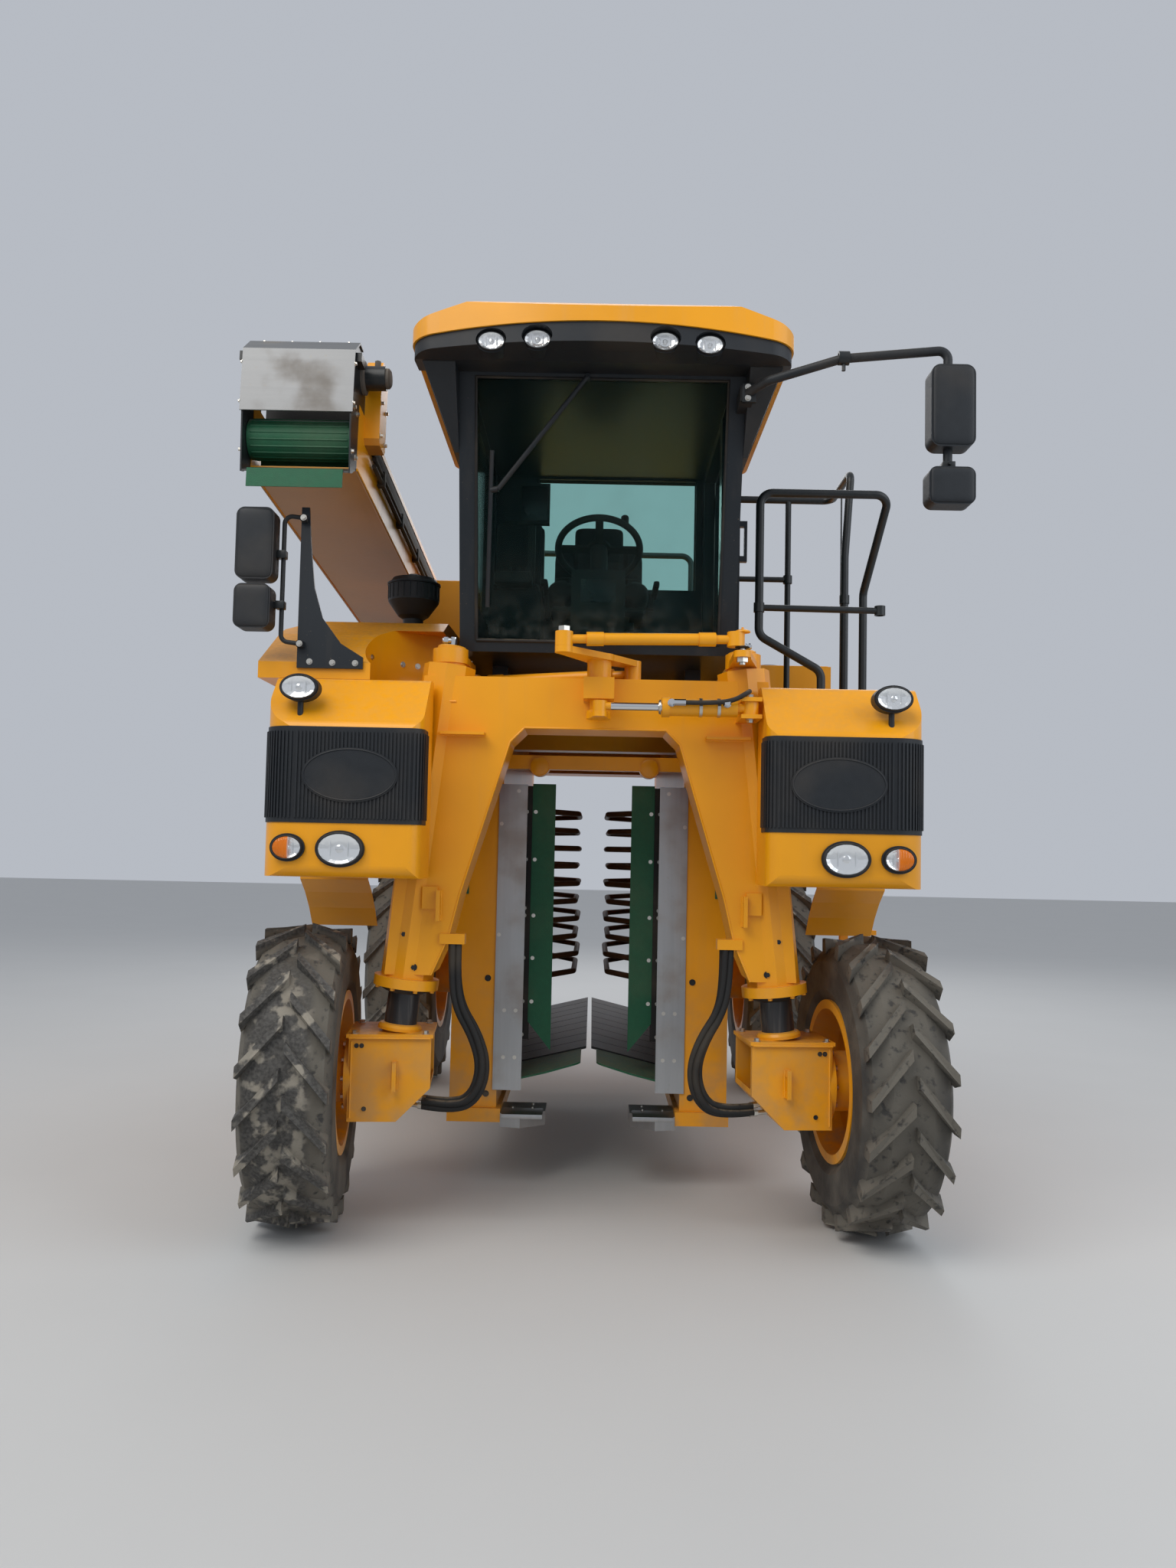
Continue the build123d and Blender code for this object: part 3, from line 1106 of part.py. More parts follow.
def arm_head():
    """Dark head plates with the drive motor, side brackets and the lower deflector plate."""
    head = BOOM_Y[0]
    top = BOOM_Z[1] + SEAT
    plate = [(head, -90), (head - 80, -140), (head - 110, -150), (head - 140, 80), (head - 140, 331)]
    plate += [(head - 60, HEAD_PLATE_TOP), (head, HEAD_PLATE_TOP)]
    plate += [(head + 95, 330), (head + 95, top), (head, top)]
    left = prism(plate, (-ARM_HALF, -ARM_HALF + 6), "X")
    right = prism(plate, (ARM_HALF - 6, ARM_HALF), "X")
    slope = [(head - SEAT, -96), (head - 110, -150), (head - 110, -142), (head - SEAT, -88)]
    deflector = prism(slope, (-ARM_HALF, ARM_HALF), "X")
    motor = rod((ARM_HALF - 3, head + 40, 310), (ARM_HALF + 95, head + 40, 310), 48)
    brackets = []
    for side in (-1, 1):
        x = tuple(sorted((side * (ARM_HALF - 3), side * (ARM_HALF + 26))))
        brackets.append(block(x, (head - 120, head - 50), (300, 336)))
    return [boom_place(fused([left, right, deflector, motor] + brackets))]


def arm_hood():
    """Bent bare-steel hood over the head."""
    head, top = BOOM_Y[0], HEAD_PLATE_TOP + SEAT
    outline = [(head, top), (head - 60, top), (head - 140 - SEAT, 331), (head - 140 - SEAT, 82)]
    outline += [(head - 147, 82), (head - 147, 334), (head - 63, top + 7), (head, top + 7)]
    return [boom_place(prism(outline, (-ARM_HALF - 6, ARM_HALF + 6), "X"))]


def arm_belt():
    """Green belt loop with the roller at the head, and the green end flap."""
    head = BOOM_Y[0]
    belt = block((-190, 190), (head + 80, 120), (BOOM_Z[0] + BOOM_WALL + SEAT, -20))
    half = ARM_HALF - BOOM_WALL - SEAT
    roller = rod((-half, head - 10, 20), (half, head - 10, 20), 78)
    edge = head - 110 - SEAT
    flap = prism([(edge - 6, -138), (edge, -138), (edge + 2, -211), (edge - 4, -211)], (-185, 185), "X")
    flap = flap - prism([(edge, -300), (edge + 20, -300), (edge + 20, -100), (edge, -100)], (-200, 200), "X")
    return [boom_place(belt + roller), boom_place(flap)]


def arm_turret():
    """Slewing column with the fork that holds the arm."""
    column = rod((ARM_X, SLEW_Y, DECK_Z + 60 + SEAT), (ARM_X, SLEW_Y, 2560), 140)
    table = block((ARM_X - 260, ARM_X + 260), (LIFT_Y - 130, LIFT_Y + 200), (2540, 2590))
    ears = []
    for side in (-1, 1):
        x0, x1 = sorted((ARM_X + side * (ARM_HALF + SEAT), ARM_X + side * (ARM_HALF + 34)))
        ears.append(block((x0, x1), (LIFT_Y - 70, LIFT_Y + 70), (2570, LIFT_Z + 70)))
    reach, root = ARM_HALF + 40, ARM_HALF - BOOM_WALL - 4
    pin = rod((ARM_X - reach, LIFT_Y, LIFT_Z), (ARM_X - root, LIFT_Y, LIFT_Z), 25)
    pin2 = rod((ARM_X + root, LIFT_Y, LIFT_Z), (ARM_X + reach, LIFT_Y, LIFT_Z), 25)
    horn = block((ARM_X - 45, ARM_X + 45), (LIFT_Y - 214, LIFT_Y - 100), (2400, 2560))
    slot = block((ARM_X - 27, ARM_X + 27), (LIFT_Y - 260, LIFT_Y - 140), (2380, 2530))
    horn = horn - slot
    cross = rod((ARM_X - 44, LIFT_Y - 190, 2440), (ARM_X + 44, LIFT_Y - 190, 2440), 15)
    return [fused([column, table] + ears + [pin, pin2, horn, cross])]


def slew_seat():
    """Outrigger on the rear frame that carries the arm's column."""
    beam = block((-1330, -840), (SLEW_Y - 150, SLEW_Y + 150), (2060, DECK_Z + 60))
    return beam


LIFT_FOOT = Vector(ARM_X, LIFT_Y - 190, 2440)
LIFT_TOP = boom_point(0, -1150, -90 - 32)


def lift_barrel():
    """Barrel of the lift cylinder, turning on the turret's pin."""
    unit = (LIFT_TOP - LIFT_FOOT).normalized()
    eye = ring(LIFT_FOOT - Vector(22, 0, 0), (1, 0, 0), 32, 15 + RUN, 44)
    neck = rod(LIFT_FOOT + unit * 24, LIFT_FOOT + unit * 86, 20)
    barrel = rod(LIFT_FOOT + unit * 80, LIFT_FOOT + unit * 560, 38) + neck
    barrel = barrel - rod(LIFT_FOOT + unit * 90, LIFT_FOOT + unit * 700, 20 + RUN)
    return [eye + barrel]


def lift_rod():
    """Rod of the lift cylinder, with its eye below the arm's lug."""
    unit = (LIFT_TOP - LIFT_FOOT).normalized()
    shank = rod(LIFT_FOOT + unit * 140, LIFT_TOP - unit * 62, 20)
    return [shank]


# Leg hoses
HOSE_TOP = (540.0, -2230.0, 1125.0)
HOSE_RADIUS = 30.0
HOSE_ROUTE = [
    HOSE_TOP,
    (540, -2230, 1010),
    (520, -2240, 880),
    (450, -2240, 770),
    (412, -2240, 650),
    (440, -2235, 535),
    (520, -2220, 480),
    (655, -2190, 492),
]


def leg_hoses(side):
    """Bundle of hoses that hangs from the leg to the knuckle."""
    hose = tube(HOSE_ROUTE, HOSE_RADIUS, 60)
    return [hose if side > 0 else flip(hose)]


# Every node by its file name
def nodes():
    frame = main_frame()[0] + slew_seat()
    front = {side: front_wheel(side) for side in (1, -1)}
    rear = {side: rear_wheel(side) for side in (1, -1)}
    right_end, left_end = arm_end(1), arm_end(-1)
    mirror_sets = mirrors()
    return {
        "portal": portal(),
        "main_frame": [frame],
        "head_walls": head_walls(),
        "head_steel": head_steel(),
        "head_rubbers": curtains() + catcher_plates(),
        "shaker_rods": shaker_rods(),
        "scale_plates": scale_plates(),
        "hoods": hoods(),
        "grilles": grilles(),
        "lamp_bodies": lamp_bodies(),
        "lamp_lenses": lamp_lenses(),
        "mudguards": mudguards(),
        "bonnet": bonnet(),
        "precleaner": precleaner(),
        "side_tanks": side_tanks(),
        "rear_cowl": rear_cowl(),
        "engine_block": engine_block(),
        "cab_frame": [cab_frame()[0] + door_hinges()[0] + door_hinges()[1]],
        "cab_glass": cab_glass(),
        "cab_roof": cab_roof(),
        "visor": visor(),
        "seat": seat(),
        "steering_column": steering_column(),
        "wiper": wiper(),
        "mirror_fin": mirror_fin(),
        "mirrors": mirror_sets,
        "mirror_glass": mirror_glass(),
        "platform": platform(),
        "ladder": ladder(),
        "guard_rails": guard_rails(),
        "elevators": elevators(),
        "fan_housings": fan_housings(),
        "fan_left": fan_rotor(1),
        "fan_right": fan_rotor(-1),
        "steering_barrel": [steering_barrel()],
        "steering_rod": [steering_rod()],
        "steering_lever": [lever()],
        "tie_rod_left": [tie_rod(LEVER_A, UPPER_EYE_Z, right_end, FAR_UPPER_Z)],
        "tie_rod_right": [tie_rod(LEVER_B, LOWER_EYE_Z, left_end, FAR_LOWER_Z)],
        "knuckle_left": [knuckle(1)],
        "knuckle_right": [knuckle(-1)],
        "tyre_front_left": [front[1][0]],
        "tyre_front_right": [front[-1][0]],
        "rim_front_left": [front[1][1]],
        "rim_front_right": [front[-1][1]],
        "tyre_rear_left": [rear[1][0]],
        "tyre_rear_right": [rear[-1][0]],
        "rim_rear_left": [rear[1][1]],
        "rim_rear_right": [rear[-1][1]],
        "cab_door": cab_door(),
        "door_glass": door_glass(),
        "arm_turret": arm_turret(),
        "arm_boom": arm_boom(),
        "arm_head": arm_head(),
        "arm_hood": arm_hood(),
        "arm_belt": arm_belt(),
        "lift_barrel": lift_barrel(),
        "lift_rod": lift_rod(),
        "leg_hose_left": leg_hoses(1),
        "leg_hose_right": leg_hoses(-1),
    }


def solids_of(pieces):
    """All solids in a list of shapes."""
    found = []
    for piece in pieces:
        found += list(piece.solids())
    return found


def main():
    os.makedirs("parts", exist_ok=True)
    for name, pieces in nodes().items():
        export_step(Compound(children=solids_of(pieces)), f"parts/{name}.step")


main()
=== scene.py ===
"""Finishes and small parts of a grape harvester, on the frame packed from its CAD source."""
import json
from math import cos, exp, pi, radians, sin

import bmesh
import bpy
from bpy.props import FloatProperty, FloatVectorProperty, IntProperty, PointerProperty
from mathutils import Matrix, Vector


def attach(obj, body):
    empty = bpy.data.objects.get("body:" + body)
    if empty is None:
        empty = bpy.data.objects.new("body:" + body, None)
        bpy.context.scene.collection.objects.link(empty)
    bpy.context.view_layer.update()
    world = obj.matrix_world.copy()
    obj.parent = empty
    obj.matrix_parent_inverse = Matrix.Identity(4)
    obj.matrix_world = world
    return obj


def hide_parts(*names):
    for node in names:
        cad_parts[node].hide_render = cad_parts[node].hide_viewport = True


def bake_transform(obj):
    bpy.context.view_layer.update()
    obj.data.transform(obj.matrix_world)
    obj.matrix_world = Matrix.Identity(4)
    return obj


bl_info = {
    "name": "Grape harvester finish",
    "version": (1, 0, 0),
    "blender": (4, 5, 0),
    "location": "3D View > Sidebar > Harvester",
    "description": "Adds finishes, fasteners, hoses and lamps to a grape harvester",
    "category": "Object",
}

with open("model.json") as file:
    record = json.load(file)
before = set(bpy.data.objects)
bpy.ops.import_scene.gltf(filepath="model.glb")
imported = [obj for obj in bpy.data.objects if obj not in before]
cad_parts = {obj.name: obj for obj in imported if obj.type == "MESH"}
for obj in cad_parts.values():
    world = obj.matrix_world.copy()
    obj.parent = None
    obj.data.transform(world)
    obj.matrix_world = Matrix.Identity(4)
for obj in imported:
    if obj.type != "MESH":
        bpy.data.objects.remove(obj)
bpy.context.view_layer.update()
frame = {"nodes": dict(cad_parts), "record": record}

# Places that the CAD source gives, in metres
FRONT_AXLE_Y = -2.110
REAR_AXLE_Y = 0.890
FRONT_WHEEL_X = 1.140
REAR_WHEEL_X = 1.170
FRONT_WHEEL_Z = 0.594
REAR_WHEEL_Z = 0.710
STEER = radians(5.0)
KINGPIN_TILT = radians(6.3)
KINGPIN_FOOT = Vector((0.768, -2.160, 0.720))
HOOD_X = (0.648, 1.250)
HOOD_FRONT_Y = -2.550
HOOD_CORNERS = (0.050, 0.120)
GRILLE_Z = (1.588, 1.950)
CAB_BASE = (-2.050, 2.330)
CAB_TOP = (-2.350, 3.450)
ARM_PIVOT = Vector((-1.175, 1.250, 2.790))
ARM_PITCH = radians(4.5)
CURTAIN_EDGE = 0.282
HOSE_ROUTE = [
    (0.540, -2.230, 1.125),
    (0.540, -2.230, 1.010),
    (0.520, -2.240, 0.880),
    (0.450, -2.240, 0.770),
    (0.412, -2.240, 0.650),
    (0.440, -2.235, 0.535),
    (0.520, -2.220, 0.480),
    (0.655, -2.190, 0.492),
]
# x, z, front of the body, half width and half height of each lens
LAMPS = [
    (x, 3.428 if abs(x) > 0.3 else 3.438, -2.575, 0.049, 0.034) for x in (-0.425, -0.250, 0.235, 0.405)
]
for side in (1, -1):
    LAMPS += [(side * 0.942, 1.492, -2.564, 0.080, 0.057), (side * 1.138, 1.494, -2.564, 0.053, 0.041)]
    LAMPS += [(side * 1.120, 2.098, -2.540, 0.064, 0.042)]


# What a user would change
class StudioSettings(bpy.types.PropertyGroup):
    eye: FloatVectorProperty(
        name="Eye",
        description="Where the camera stands",
        default=(0.0, -6.95, 1.5),
        subtype="TRANSLATION",
        unit="LENGTH",
    )
    pitch: FloatProperty(name="Pitch", description="Upward tilt", default=radians(3.3), subtype="ANGLE")
    turn: FloatProperty(name="Turn", description="Turn to the left", default=radians(0.3), subtype="ANGLE")
    roll: FloatProperty(
        name="Roll", description="Roll of the picture", default=radians(1.2), subtype="ANGLE"
    )
    lens: FloatProperty(
        name="Lens", description="Focal length on a 36 mm tall sensor", default=27.07, min=10.0
    )
    key_power: FloatProperty(
        name="Key power", description="Power of the large soft light", default=430.0, min=0.0
    )
    sky: FloatProperty(
        name="Sky", description="Strength of the even light all round", default=0.55, min=0.0
    )
    floor_tint: FloatVectorProperty(
        name="Floor", description="Colour of the floor", default=(0.56, 0.56, 0.55), subtype="COLOR"
    )


class PaintSettings(bpy.types.PropertyGroup):
    yellow: FloatVectorProperty(
        name="Yellow", description="Body paint", default=(0.84, 0.345, 0.002), subtype="COLOR"
    )
    slate: FloatVectorProperty(
        name="Slate", description="Paint of cab and fin", default=(0.008, 0.012, 0.017), subtype="COLOR"
    )
    dust: FloatVectorProperty(
        name="Dust", description="Dry soil on everything", default=(0.33, 0.25, 0.16), subtype="COLOR"
    )
    mud: FloatVectorProperty(
        name="Mud",
        description="Soil packed between the tyre lugs",
        default=(0.20, 0.18, 0.145),
        subtype="COLOR",
    )
    green: FloatVectorProperty(
        name="Green",
        description="Rubber of belt and catching plates",
        default=(0.009, 0.098, 0.044),
        subtype="COLOR",
    )
    glass_tint: FloatVectorProperty(
        name="Glass tint",
        description="Tint of the cab windows",
        default=(0.84, 0.985, 0.96),
        subtype="COLOR",
    )


class FastenerSettings(bpy.types.PropertyGroup):
    wheel_nuts: IntProperty(name="Wheel nuts", description="Nuts on each wheel", default=10, min=3)
    nut_circle: FloatProperty(
        name="Nut circle", description="Radius of the circle of wheel nuts", default=0.1375, unit="LENGTH"
    )
    nut_radius: FloatProperty(
        name="Nut radius", description="Half width of a nut", default=0.0165, unit="LENGTH"
    )
    bolt_radius: FloatProperty(
        name="Bolt radius", description="Half width of a bolt head", default=0.011, unit="LENGTH"
    )
    hose_radius: FloatProperty(
        name="Hose bundle", description="Radius of a bundle of leg hoses", default=0.030, unit="LENGTH"
    )


# Shader sums
class Signal:
    """Output of a node that can stand in a Python sum."""

    def __init__(self, finish, socket):
        self.finish = finish
        self.socket = socket

    def sum(self, operation, first, second):
        return self.finish.node("ShaderNodeMath", {"operation": operation}, {0: first, 1: second})

    def __add__(self, other):
        return self.sum("ADD", self, other)

    def __radd__(self, other):
        return self.sum("ADD", other, self)

    def __sub__(self, other):
        return self.sum("SUBTRACT", self, other)

    def __rsub__(self, other):
        return self.sum("SUBTRACT", other, self)

    def __mul__(self, other):
        return self.sum("MULTIPLY", self, other)

    def __or__(self, other):
        """The greater of two masks."""
        return self.sum("MAXIMUM", self, other)

    def between(self, low, high):
        """0 below low and 1 above high, with a smooth step."""
        settings = {"interpolation_type": "SMOOTHSTEP"}
        inputs = {"Value": self, "From Min": low, "From Max": high}
        return self.finish.node("ShaderNodeMapRange", settings, inputs)

    def size(self):
        return self.sum("ABSOLUTE", self, 0.0)


class Finish:
    """One procedural material, written as sums of its masks."""

    def __init__(self, name, **settings):
        self.material = bpy.data.materials.new(name)
        self.material.use_nodes = True
        self.tree = self.material.node_tree
        self.shader = self.tree.nodes["Principled BSDF"]
        for socket, value in settings.items():
            self.join(value, self.shader.inputs[socket.replace("_", " ")])
        self.place = self.node("ShaderNodeTexCoord", {}, {}, "Object")

    def node(self, kind, settings, inputs, output=0):
        """A node with its settings set first, then the values or links of its sockets."""
        made = self.tree.nodes.new(kind)
        for key, value in settings.items():
            setattr(made, key, value)
        for key, value in inputs.items():
            self.join(value, made.inputs[key])
        return Signal(self, made.outputs[output])

    def join(self, value, socket):
        if isinstance(value, Signal):
            self.tree.links.new(value.socket, socket)
        elif socket.type == "RGBA":
            socket.default_value = (*value[:3], 1.0)
        else:
            socket.default_value = value

    def coordinate(self, index):
        """X, Y or Z of the shaded point, for index 0, 1 or 2."""
        return self.node("ShaderNodeSeparateXYZ", {}, {0: self.place}, index)

    def facing(self, index):
        """How far the surface faces along one axis."""
        normal = self.node("ShaderNodeNewGeometry", {}, {}, "Normal")
        return self.node("ShaderNodeSeparateXYZ", {}, {0: normal}, index)

    def noise(self, scale, detail=3.0, stretch=(1.0, 1.0, 1.0)):
        place = self.node("ShaderNodeMapping", {}, {"Vector": self.place, "Scale": stretch})
        return self.node("ShaderNodeTexNoise", {}, {"Vector": place, "Scale": scale, "Detail": detail})

    def cells(self, scale, stretch=(1.0, 1.0, 1.0)):
        place = self.node("ShaderNodeMapping", {}, {"Vector": self.place, "Scale": stretch})
        return self.node("ShaderNodeTexVoronoi", {}, {"Vector": place, "Scale": scale})

    def bands(self, direction, scale):
        inputs = {"Vector": self.place, "Scale": scale}
        return self.node("ShaderNodeTexWave", {"bands_direction": direction}, inputs)

    def mix(self, amount, first, second):
        return self.node("ShaderNodeMix", {"data_type": "RGBA"}, {0: amount, 6: first, 7: second}, 2)

    def apart(self, point, axis):
        """Distance from a line through a point."""
        kind = "ShaderNodeVectorMath"
        offset = self.node(kind, {"operation": "SUBTRACT"}, {0: self.place, 1: tuple(point)})
        across = self.node(kind, {"operation": "CROSS_PRODUCT"}, {0: offset, 1: tuple(axis)})
        return self.node(kind, {"operation": "LENGTH"}, {0: across}, "Value")

    def bump(self, height, distance, strength=1.0):
        inputs = {"Height": height, "Distance": distance, "Strength": strength}
        return self.node("ShaderNodeBump", {}, inputs)

    def surface(self, **inputs):
        for socket, value in inputs.items():
            self.join(value, self.shader.inputs[socket.replace("_", " ")])
        return self.material


def shade(colour, factor):
    return tuple(channel * factor for channel in colour)


def body_paint(name, colour, dust, gloss=0.34, grime=1.0, coat=0.22, strut=None, underside_dirt_and_shade=None):
    """Sprayed paint with its slight waviness, dust on ledges, runs below and soil low down.

    Strut is the (foot, axis) of a bare dark tube in the piece, and the last argument, if given, is the
    colour of faces that look down: dirt with painted shade.
    """
    finish = Finish(name, Coat_Weight=coat, Coat_Roughness=0.18, Specular_IOR_Level=0.36)
    z = finish.coordinate(2)
    patches = finish.noise(1.7, 4.0)
    specks = finish.noise(46.0, 6.0)
    runs = finish.noise(7.0, 5.0, (2.6, 2.6, 0.22)).between(0.50, 0.78)
    ledge = finish.facing(2).between(0.55, 0.95) * specks.between(0.30, 0.62)
    soil = (1.0 - z.between(0.30, 1.15)) * finish.noise(9.0, 6.0).between(0.36, 0.66)
    chips = finish.noise(120.0, 2.0).between(0.72, 0.76)
    grime_mask = ledge * (0.22 * grime) + runs * (0.06 * grime) + soil * (0.42 * grime)
    base = finish.mix(patches.between(0.3, 0.7), shade(colour, 0.90), shade(colour, 1.06))
    if underside_dirt_and_shade:
        # Faces that look down take that colour: dirt and painted shade.
        underside_dirt_shade_mask = (1.0 - finish.facing(2).between(-0.9, -0.3)) * (patches * 0.5 + 0.62)
        base = finish.mix(underside_dirt_shade_mask, base, underside_dirt_and_shade)
    base = finish.mix(grime_mask | chips * 0.25, base, dust)
    rough = specks * 0.06 + gloss + grime_mask * 0.42
    if strut:
        bare = (1.0 - finish.apart(*strut).between(0.0655, 0.0665)) * z.between(0.771, 0.773)
        bare = bare * (1.0 - z.between(2.18, 2.20))
        scuffs = finish.noise(60.0, 4.0, (1.0, 1.0, 0.05)).between(0.45, 0.8)
        base = finish.mix(bare, base, finish.mix(scuffs, (0.022, 0.022, 0.024), (0.085, 0.080, 0.075)))
    wave = finish.noise(210.0, 2.0) * 0.4 + grime_mask * 0.6
    return finish.surface(Base_Color=base, Roughness=rough, Normal=finish.bump(wave, 0.0012, 0.35))


def moulded(name, colour, dust, rough=0.5, grain=420.0, depth=0.0012, dusting=0.5):
    """Grained plastic or rubber, greyed by dust where it faces up."""
    finish = Finish(name, Specular_IOR_Level=0.34)
    specks = finish.noise(38.0, 6.0)
    film = finish.noise(3.2, 4.0).between(0.42, 0.75)
    ledge = finish.facing(2).between(0.4, 0.95) * specks.between(0.30, 0.60)
    mask = ledge * (0.55 * dusting) + film * (0.22 * dusting)
    base = finish.mix(specks, shade(colour, 0.82), shade(colour, 1.2))
    base = finish.mix(mask, base, dust)
    bump = finish.bump(finish.noise(grain, 2.0) + mask * 0.4, depth, 0.5)
    return finish.surface(Base_Color=base, Roughness=specks * 0.1 + rough + mask * 0.25, Normal=bump)


def bare_steel(name, colour, dust, stretch, rough=0.24):
    """Brushed sheet with stains, a few scratches and dried juice."""
    finish = Finish(name, Metallic=1.0)
    brush = finish.noise(60.0, 3.0, stretch)
    stains = finish.noise(4.0, 6.0).between(0.48, 0.70)
    drops = finish.cells(26.0).between(0.02, 0.20)
    base = finish.mix(brush, shade(colour, 0.86), shade(colour, 1.08))
    base = finish.mix(stains * 0.30 + (1.0 - drops) * 0.12, base, shade(dust, 0.8))
    return finish.surface(
        Base_Color=base,
        Roughness=brush * 0.12 + rough + stains * 0.22,
        Normal=finish.bump(brush, 0.0006, 0.3),
    )


def tyre_rubber(name, mud, axle_y, radius):
    """Worn tread with soil packed between the lugs and a dusty side wall, standing on the ground."""
    finish = Finish(name)
    y, z = finish.coordinate(1), finish.coordinate(2)
    spoke = finish.node("ShaderNodeCombineXYZ", {}, {1: y - axle_y, 2: z - radius})
    reach = finish.node("ShaderNodeVectorMath", {"operation": "LENGTH"}, {0: spoke}, "Value")
    tread = reach.between(radius - 0.034, radius - 0.014)
    shoulder = reach.between(radius - 0.130, radius - 0.050)
    lumps = finish.noise(34.0, 8.0)
    patches = finish.noise(5.5, 5.0).between(0.32, 0.62)
    packed = (1.0 - tread) * shoulder * lumps.between(0.26, 0.46)
    film = (1.0 - shoulder) * patches * 0.62 + 0.10
    worn = tread * finish.noise(80.0, 6.0).between(0.30, 0.70)
    rubber = finish.mix(worn * 0.75, (0.028, 0.027, 0.026), (0.105, 0.100, 0.092))
    smears = tread * finish.noise(13.0, 8.0).between(0.52, 0.62) * 0.75
    colour = finish.mix(packed * 0.60 | film * 0.6, rubber, mud)
    colour = finish.mix(smears, colour, shade(mud, 1.75))
    height = lumps * 0.5 + packed * 0.5 + finish.noise(160.0, 4.0) * 0.25
    return finish.surface(
        Base_Color=colour, Roughness=0.74 + packed * 0.18, Normal=finish.bump(height, 0.006, 0.6)
    )


def window_glass(name, clear, tint):
    """Pane that tints what is behind it, with a film of dust that thickens towards its lower edge."""
    finish = Finish(name, Roughness=0.05, IOR=1.45)
    z = finish.coordinate(2)
    film = finish.noise(5.0, 6.0).between(0.40, 0.85)
    low = (1.0 - z.between(2.36, 2.62)) * finish.noise(20.0, 6.0).between(0.35, 0.7)
    sheen = finish.node("ShaderNodeFresnel", {}, {"IOR": 1.45})
    finish.surface(Base_Color=finish.mix(film * 0.3 + low * 0.5, tint, (0.30, 0.29, 0.25)))
    behind = finish.node("ShaderNodeBsdfTransparent", {}, {"Color": clear})
    share = sheen * 0.8 + film * 0.035 + low * 0.10 + 0.05
    front = Signal(finish, finish.shader.outputs[0])
    pane = finish.node("ShaderNodeMixShader", {}, {0: share, 1: behind, 2: front})
    finish.join(pane, finish.tree.nodes["Material Output"].inputs["Surface"])
    return finish.material


def lens_glass(name):
    """Clear fluted lens, amber over the outer half of each indicator."""
    finish = Finish(name, IOR=1.45)
    x, z = finish.coordinate(0), finish.coordinate(2)
    amber = x.size().between(1.128, 1.136) * (1.0 - z.between(1.60, 1.65))
    flutes = finish.bands("X", 30.0)
    colour = finish.mix(amber, (0.88, 0.91, 0.93), (0.80, 0.20, 0.008))
    return finish.surface(
        Base_Color=colour, Alpha=amber * 0.62 + 0.14, Roughness=0.05 + flutes * 0.03,
        Normal=finish.bump(flutes, 0.002, 0.5),
    )


def polished(name, colour, rough=0.06):
    finish = Finish(name, Metallic=1.0)
    smear = finish.noise(22.0, 4.0)
    base = finish.mix(smear, shade(colour, 0.92), colour)
    return finish.surface(Base_Color=base, Roughness=smear * 0.06 + rough)


def clevis_rod(name, paint, bright):
    """Rod that is polished past the X where its painted eye ends."""
    finish = Finish(name)
    bare = finish.coordinate(0).between(0.058, 0.060)
    base = finish.mix(bare, paint, bright)
    return finish.surface(Base_Color=base, Metallic=bare, Roughness=0.36 - bare * 0.28)


def woven(name, colour):
    finish = Finish(name)
    threads = finish.bands("Z", 180.0) * finish.bands("X", 180.0)
    base = finish.mix(threads, shade(colour, 0.6), shade(colour, 1.3))
    return finish.surface(Base_Color=base, Roughness=0.85, Normal=finish.bump(threads, 0.001, 0.5))


def floor_finish(tint):
    finish = Finish("pale floor", Roughness=0.7)
    patches = finish.noise(1.2, 5.0)
    return finish.surface(Base_Color=finish.mix(patches, shade(tint, 0.97), shade(tint, 1.02)))


finishes = {}


